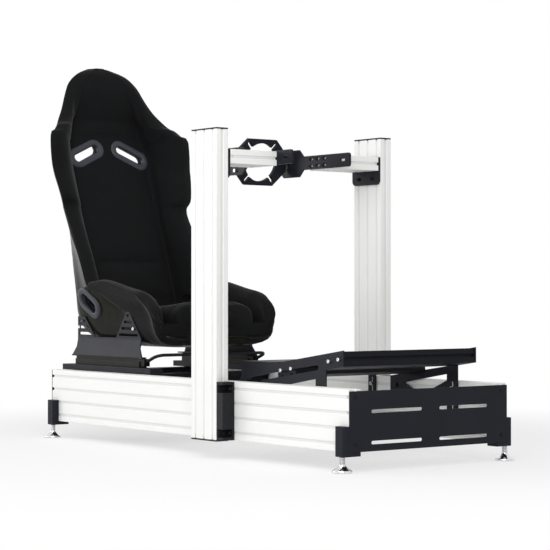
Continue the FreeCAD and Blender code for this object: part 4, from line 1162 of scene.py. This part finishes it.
class COCKPIT_OT_seat_shell(Operator):
    """Lay up the glossy seat shell with its belt slots"""
    bl_idname = "cockpit.seat_shell"
    bl_label = "Seat shell"

    def execute(self, context):
        rings = []
        for place in seat_places():
            outside, inside = place.shell_line()
            ring = mirrored_line(outside) + mirrored_line(inside)[::-1]
            rings.append([place.point(p.x, p.y) for p in ring])
        mesh = carved(sweep("seat_shell_blank", rings), belt_cutters(0.0), "seat_shell_laid")
        piece = new_piece("seat_shell_laid", mesh, "seat", "seat_shell_gloss", smooth=42.0)
        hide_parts("seat_shell")
        return {"FINISHED"}


class COCKPIT_OT_seat_cover(Operator):
    """Stretch the padded cover over the thigh bolsters, the back and the head"""
    bl_idname = "cockpit.seat_cover"
    bl_label = "Seat cover"

    def execute(self, context):
        seat = context.scene.cockpit_seat
        places = seat_places()
        slot = back_frame(LEFT)
        flat = []
        for place in places:
            middle = 0.0 if place.tray > 1 else seat.back_crown / MM
            outside = place.cover_line(seat.cover_proud / MM, seat.crease_depth / MM, middle)
            self.sew_lumbar(place, outside, seat.lumbar_depth / MM)
            for p in outside:
                p.z = max(p.z, self.clamped(place.point(p.x, p.y) / MM, *slot))
            lining = [Vector((p.x, p.y, 1.0)) for p in place.lining_line()]
            flat.append(mirrored_line(outside) + mirrored_line(lining)[::-1])
        rings = [[place.point(p.x, p.y) for p in ring] for place, ring in zip(places, flat)]
        nose = domed(places[0], flat[0], -COVER_NOSE, NOSE_INSETS)
        tip = domed(places[-1], flat[-1], COVER_TIP, TIP_INSETS)
        held = [p.z for ring in flat[:1] * len(nose) + flat + flat[-1:] * len(tip) for p in ring]
        mesh = sweep("seat_cover_blank", nose[::-1] + rings + tip)
        mesh = inflated(mesh, held, COVER_PRESSURE, seat.cover_swell)
        seats = [lap_cutter(side, LAP_BEZEL_BORDER, LAP_SEAT_Y) for side in (RIGHT, LEFT)]
        mesh = carved(mesh, belt_cutters(COVER_SLOT_EXTRA) + seats, "seat_cover")
        piece = new_piece("seat_cover", mesh, "seat", "seat_fabric", smooth=70.0)
        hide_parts("back_pad", "headrest_pad", *both_sides("thigh_bolster"),
                    *both_sides("back_bolster"))
        return {"FINISHED"}

    def clamped(self, spot, middle, across, up, out):
        """How firmly a harness bezel holds the cover down at a spot."""
        x, y = (spot - middle).dot(across), (spot - middle).dot(up)
        turn = math.radians(BELT_SLOT_TILT)
        along = x * math.cos(turn) + y * math.sin(turn)
        beside = y * math.cos(turn) - x * math.sin(turn)
        straight = (BELT_SLOT_L - BELT_SLOT_W) / 2
        away = math.hypot(max(0.0, abs(along) - straight), beside) - BELT_SLOT_W / 2 - BEZEL_BORDER
        near = abs((spot - middle).dot(out)) < CLAMP_DEPTH
        return min(max(1.0 - away / CLAMP_FADE, 0.0), 1.0) if near else 0.0

    def sew_lumbar(self, place, outside, depth):
        """Pulls the back panel in along the seam across the small of the back."""
        if place.tray > 1:
            return
        nearness = math.exp(-((place.start.z - LUMBAR_SEAM_Z) / LUMBAR_SEAM_REACH) ** 2)
        for p in outside:
            if p.x < LUMBAR_SEAM_HALF_W:
                p.y -= depth * nearness
                p.z = max(p.z, nearness)


class COCKPIT_OT_seat_cushion(Operator):
    """Fill the loose cushion and let it swell in its cover"""
    bl_idname = "cockpit.seat_cushion"
    bl_label = "Seat cushion"

    def execute(self, context):
        seat = context.scene.cockpit_seat
        crown = seat.cushion_crown / MM
        start_x = SEAT_FRONT_X - FRONT_ROLL_L
        places = [place for place in seat_places()
                  if place.tray > CUSHION_LEAST_TRAY and place.start.x < start_x + 1]
        flat = []
        for index, place in enumerate(places):
            fade = min(1.0, (len(places) - index) / CUSHION_FADE_RINGS)
            flat.append(place.cushion_line(place.pad_w - CUSHION_GAP, crown * fade, CUSHION_STEPS))
        rings = [[place.point(p.x, p.y) for p in ring] for place, ring in zip(places, flat)]
        front = places[0]
        for reach in CUSHION_REACHES:
            rings.insert(0, [front.point(p.x, p.y, -reach * CUSHION_FRONT_REACH) for p in flat[0]])
        ahead = front.point(0, 0, -CUSHION_REACHES[-1] * CUSHION_FRONT_REACH) - front.point(0, 0)
        rest = (1 - CUSHION_REACHES[-1]) * CUSHION_FRONT_REACH
        for ring in domed(front, flat[0], -rest, NOSE_INSETS):
            rings.insert(0, [p + ahead for p in ring])
        mesh = sweep("seat_cushion_cover", rings)
        mesh = even_mesh(mesh, seat.cushion_weave)
        mesh = inflated(mesh, None, CUSHION_PRESSURE, seat.cushion_swell)
        piece = new_piece("seat_cushion_cover", mesh, "seat", "seat_fabric", smooth=70.0)
        finer = piece.modifiers.new("Finer", "SUBSURF")
        finer.levels = 1
        finer.render_levels = 1
        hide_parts("seat_cushion")
        return {"FINISHED"}


class COCKPIT_OT_belt_bezels(Operator):
    """Mould the rings round the harness and lap belt slots"""
    bl_idname = "cockpit.belt_bezels"
    bl_label = "Belt bezels"

    def execute(self, context):
        for side in (RIGHT, LEFT):
            for name, mesh in (("harness", self.harness_ring(side)), ("lap", self.lap_ring(side))):
                piece = new_piece(name + "_bezel_" + SIDE_NAMES[side], mesh, "seat", "bezel_plastic")
                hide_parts("belt_bezels")
        return {"FINISHED"}

    def harness_ring(self, side):
        middle, across, up, out = back_frame(side)
        rims = [(0, -7), (0, 1), (1.2, 3.4), (4, 5.2), (9, 5.8), (15, 5.2), (20, 3.2),
                (BEZEL_BORDER, -1.0), (BEZEL_BORDER, -5), (3, -7)]
        outline = outline_with_ways(BELT_SLOT_L, BELT_SLOT_W, BELT_SLOT_TILT)
        return bezel_ring(outline, rims, lambda x, y, h: (middle + across * x + up * y + out * h) * MM)

    def lap_ring(self, side):
        """A raised ring with a flat face, leaning out to the rim above it, sunk into the shell."""
        rims = [(0, -26), (0, -2), (0.8, 0.0), (3, 1.2), (9, 1.6), (15, 1.0),
                (LAP_BEZEL_BORDER - 1.5, -0.8), (LAP_BEZEL_BORDER, -4), (LAP_BEZEL_BORDER, -26)]
        outline = outline_with_ways(LAP_SLOT_L, LAP_SLOT_W, LAP_SLOT_TILT)

        def lay(x, z, height):
            face = LAP_BEZEL_FACE_Y + LAP_BEZEL_LEAN * z + height
            return Vector((LAP_SLOT_X + x, side * face, LAP_SLOT_Z + z)) * MM

        return bezel_ring(outline, rims, lay)


class COCKPIT_OT_screws(Operator):
    """Set the screws on the brackets, plates and tray"""
    bl_idname = "cockpit.screws"
    bl_label = "Screws"

    def execute(self, context):
        fittings = context.scene.cockpit_fittings
        full = {"Head Diameter": fittings.screw_head, "Head Height": fittings.screw_height,
                "Socket Width": fittings.screw_socket, "Washer Diameter": fittings.washer,
                "Washer Thickness": fittings.washer_thickness}
        low = dict(full)
        low["Head Height"] = fittings.low_height
        low["Washer Diameter"] = fittings.screw_head
        flush = dict(low)
        flush["Head Height"] = fittings.washer_thickness
        flush["Washer Thickness"] = fittings.plate_round / 4
        self.work = cap_screw_tree(full)
        inwards, outwards, ahead = (0, 1, 0), (0, -1, 0), (1, 0, 0)
        self.set_screws("bracket_screws", "seat", "bright_screw", low,
                        [((-581, -207.3, 346.5), outwards), ((-272, -207.3, 346), outwards)])
        self.set_screws("tray_screws", "tray", "bright_screw", low,
                        [((493, -235, 248), outwards), ((537, -235, 254), outwards),
                         ((696, -235, 278), outwards), ((736, -235, 284), outwards)])
        self.set_screws("leg_screws", "frame", "bright_screw", low,
                        [((318, -231, 192), inwards), ((659, -231, 192), inwards)])
        self.set_screws("side_plate_screws", "frame", "bright_screw", low,
                        [((109, -107, 808), outwards)])
        arm = [((x, -101, z), inwards) for x in (196, 226, 256) for z in (825, 845)]
        beam = [((x, -268, 790), inwards) for x in (215, 275)]
        self.set_screws("beam_screws", "frame", "bolt_steel", low, arm + beam)
        pockets = []
        for z in (71, 193):
            pockets += [((311, -299, z), ahead), ((326, -282, z), outwards)]
        self.set_screws("corner_screws", "frame", "bolt_steel", full, pockets)
        self.set_screws("plate_screws", "frame", "bolt_steel", flush,
                        [((829, -256, 72), ahead), ((829, -256, 192), ahead)])
        return {"FINISHED"}

    def set_screws(self, name, body, finish, sizes, places):
        mesh = self.work.grow(name, screw_points(places), sizes, finish)
        slot = "foot_chrome" if finish == "bright_screw" else finish
        new_piece(name, mesh, body, slot, finish, smooth=35.0)


class COCKPIT_OT_seams(Operator):
    """Sew the lines of stitches on the seat cover"""
    bl_idname = "cockpit.seams"
    bl_label = "Seams"

    def execute(self, context):
        seat = context.scene.cockpit_seat
        sizes = {"Stitch Length": seat.stitch_length, "Stitch Pitch": seat.stitch_pitch,
                 "Stitch Width": seat.stitch_width}
        cover = surface_of(bpy.data.objects["seat_cover"])
        places = [place for place in seat_places() if place.tray < 1]
        lines = []
        for side in (RIGHT, LEFT):
            lines.append([place.point(side * (place.pad_w - SEAM_INSET), SEAM_START)
                          for place in places[:-SEAM_END_RINGS]])
        lumbar = min(places, key=lambda place: abs(place.start.z - LUMBAR_SEAM_Z))
        half = int(LUMBAR_SEAM_HALF_W)
        lines.append([lumbar.point(across, SEAM_START, SEAM_OFFSET)
                      for across in range(-half, half + 1, SEAM_STEP)])
        points = []
        edges = []
        for line in lines:
            first = len(points)
            points += [on_surface(cover, point) for point in line]
            edges += [(i, i + 1) for i in range(first, len(points) - 1)]
        mesh = bpy.data.meshes.new("seam_lines")
        mesh.from_pydata(points, edges, [])
        stitches = stitch_tree(sizes).grow("seat_stitches", mesh, sizes, "thread")
        new_piece("seat_stitches", stitches, "seat", "seat_fabric", "thread", smooth=80.0)
        return {"FINISHED"}


class COCKPIT_OT_studio(Operator):
    """Set up the floor, the soft lights, the pale surround and the camera"""
    bl_idname = "cockpit.studio"
    bl_label = "Studio"

    def execute(self, context):
        studio = context.scene.cockpit_studio
        self.lay_floor(studio)
        self.hang_lights(studio)
        self.paint_surround(context.scene, studio)
        self.place_camera(context.scene, studio)
        context.scene.view_settings.view_transform = "Standard"
        return {"FINISHED"}

    def seen_directly(self, work):
        """Socket that is 1 for what the camera sees, also in a reflection or through glass."""
        sight = work.node("ShaderNodeLightPath").outputs
        seen = sight["Is Camera Ray"]
        for ray in ("Is Glossy Ray", "Is Transmission Ray"):
            seen = work.work_out("MAXIMUM", seen, sight[ray])
        return seen

    def blend(self, work, share, first, second, output):
        """Sends a mix of two shaders to the output."""
        mix = work.node("ShaderNodeMixShader", {"Fac": share, 1: first, 2: second})
        work.node(output, {"Surface": mix.outputs["Shader"]})

    def lay_floor(self, studio):
        """A matt floor that keeps the shadows near the object and turns white further out."""
        half = studio.floor_size / 2
        corners = [(-half, -half, 0), (half, -half, 0), (half, half, 0), (-half, half, 0)]
        mesh = bpy.data.meshes.new("studio_floor")
        mesh.from_pydata(corners, [], [(0, 1, 2, 3)])
        floor = placed("studio_floor", mesh)
        material = bpy.data.materials.new("studio_floor")
        material.use_nodes = True
        work = TreeWork(material.node_tree)
        work.tree.nodes.clear()
        matt = work.node("ShaderNodeBsdfDiffuse", {"Color": FLOOR_WHITE}).outputs["BSDF"]
        white = work.node("ShaderNodeEmission").outputs["Emission"]
        away = work.node("ShaderNodeVectorMath", {0: work.node("ShaderNodeTexCoord").outputs["Object"]},
                         operation="LENGTH").outputs["Value"]
        fade = work.node("ShaderNodeMapRange", {"Value": away, "From Min": FLOOR_FADE_FROM,
                                                "From Max": FLOOR_FADE_TO, "To Min": FLOOR_FADE_LEAST},
                         interpolation_type="SMOOTHSTEP").outputs["Result"]
        share = work.work_out("MULTIPLY", fade, self.seen_directly(work))
        self.blend(work, share, matt, white, "ShaderNodeOutputMaterial")
        mesh.materials.append(material)

    def hang_lights(self, studio):
        for name, spot, aim, size, power in (
                ("key_box", (1.2, -1.6, 3.6), (0.0, 0.0, 0.5), 3.2, studio.key_light),
                ("side_box", (-1.4, -4.4, 1.5), (-0.3, 0.0, 0.6), 2.6, studio.side_light),
                ("front_box", (3.6, -3.0, 2.1), (0.0, 0.0, 0.6), 3.0, studio.front_light),
                ("rear_box", (-3.2, -2.4, 1.3), (0.0, 0.0, 0.6), 1.8, studio.rear_light)):
            lamp = bpy.data.lights.new(name, "AREA")
            lamp.shape = "SQUARE"
            lamp.size = size
            lamp.energy = power
            holder = placed(name, lamp)
            holder.location = spot
            holder.rotation_euler = (Vector(aim) - Vector(spot)).to_track_quat("-Z", "Y").to_euler()

    def paint_surround(self, scene, studio):
        world = bpy.data.worlds.new("studio_surround")
        world.use_nodes = True
        work = TreeWork(world.node_tree)
        work.tree.nodes.clear()
        shades = []
        for strength in (studio.sky, 1.0):
            shade = work.node("ShaderNodeBackground", {"Color": PURE_WHITE, "Strength": strength})
            shades.append(shade.outputs["Background"])
        self.blend(work, self.seen_directly(work), *shades, "ShaderNodeOutputWorld")
        scene.world = world

    def place_camera(self, scene, studio):
        data = bpy.data.cameras.new("camera")
        data.lens = studio.lens
        data.sensor_width = CAMERA_SENSOR
        data.clip_end = CAMERA_SIGHT
        camera = placed("camera", data)
        camera.location = CAMERA_SPOT
        yaw = math.radians(CAMERA_YAW)
        pitch = math.radians(CAMERA_PITCH)
        level = math.cos(pitch)
        view = Vector((level * math.cos(yaw), level * math.sin(yaw), math.sin(pitch)))
        camera.rotation_euler = view.to_track_quat("-Z", "Y").to_euler()
        scene.camera = camera


class COCKPIT_PT_panel(Panel):
    bl_idname = "COCKPIT_PT_panel"
    bl_label = "Sim Racing Cockpit"
    bl_space_type = "VIEW_3D"
    bl_region_type = "UI"
    bl_category = "Cockpit"

    def draw(self, context):
        column = self.layout.column()
        for operator in OPERATORS:
            column.operator(operator.bl_idname)


GROUPS = {"cockpit_finishes": CockpitFinishes, "cockpit_seat": CockpitSeat,
          "cockpit_fittings": CockpitFittings, "cockpit_studio": CockpitStudio}
OPERATORS = [COCKPIT_OT_finishes, COCKPIT_OT_profiles, COCKPIT_OT_front_end, COCKPIT_OT_wheel_mount,
             COCKPIT_OT_pedal_tray, COCKPIT_OT_seat_carriage, COCKPIT_OT_seat_shell,
             COCKPIT_OT_seat_cover, COCKPIT_OT_seat_cushion, COCKPIT_OT_belt_bezels, COCKPIT_OT_screws,
             COCKPIT_OT_seams, COCKPIT_OT_studio]


def register():
    for group in GROUPS.values():
        bpy.utils.register_class(group)
    for name, group in GROUPS.items():
        setattr(bpy.types.Scene, name, PointerProperty(type=group))
    for operator in OPERATORS:
        bpy.utils.register_class(operator)
    bpy.utils.register_class(COCKPIT_PT_panel)


def unregister():
    bpy.utils.unregister_class(COCKPIT_PT_panel)
    for operator in reversed(OPERATORS):
        bpy.utils.unregister_class(operator)
    for name in GROUPS:
        delattr(bpy.types.Scene, name)
    for group in reversed(list(GROUPS.values())):
        bpy.utils.unregister_class(group)


def main():
    register()
    bpy.ops.cockpit.finishes()
    bpy.ops.cockpit.profiles()
    bpy.ops.cockpit.front_end()
    bpy.ops.cockpit.wheel_mount()
    bpy.ops.cockpit.pedal_tray()
    bpy.ops.cockpit.seat_carriage()
    bpy.ops.cockpit.seat_shell()
    bpy.ops.cockpit.seat_cover()
    bpy.ops.cockpit.seat_cushion()
    bpy.ops.cockpit.belt_bezels()
    bpy.ops.cockpit.screws()
    bpy.ops.cockpit.seams()
    bpy.ops.cockpit.studio()


if __name__ == "__main__":
    main()
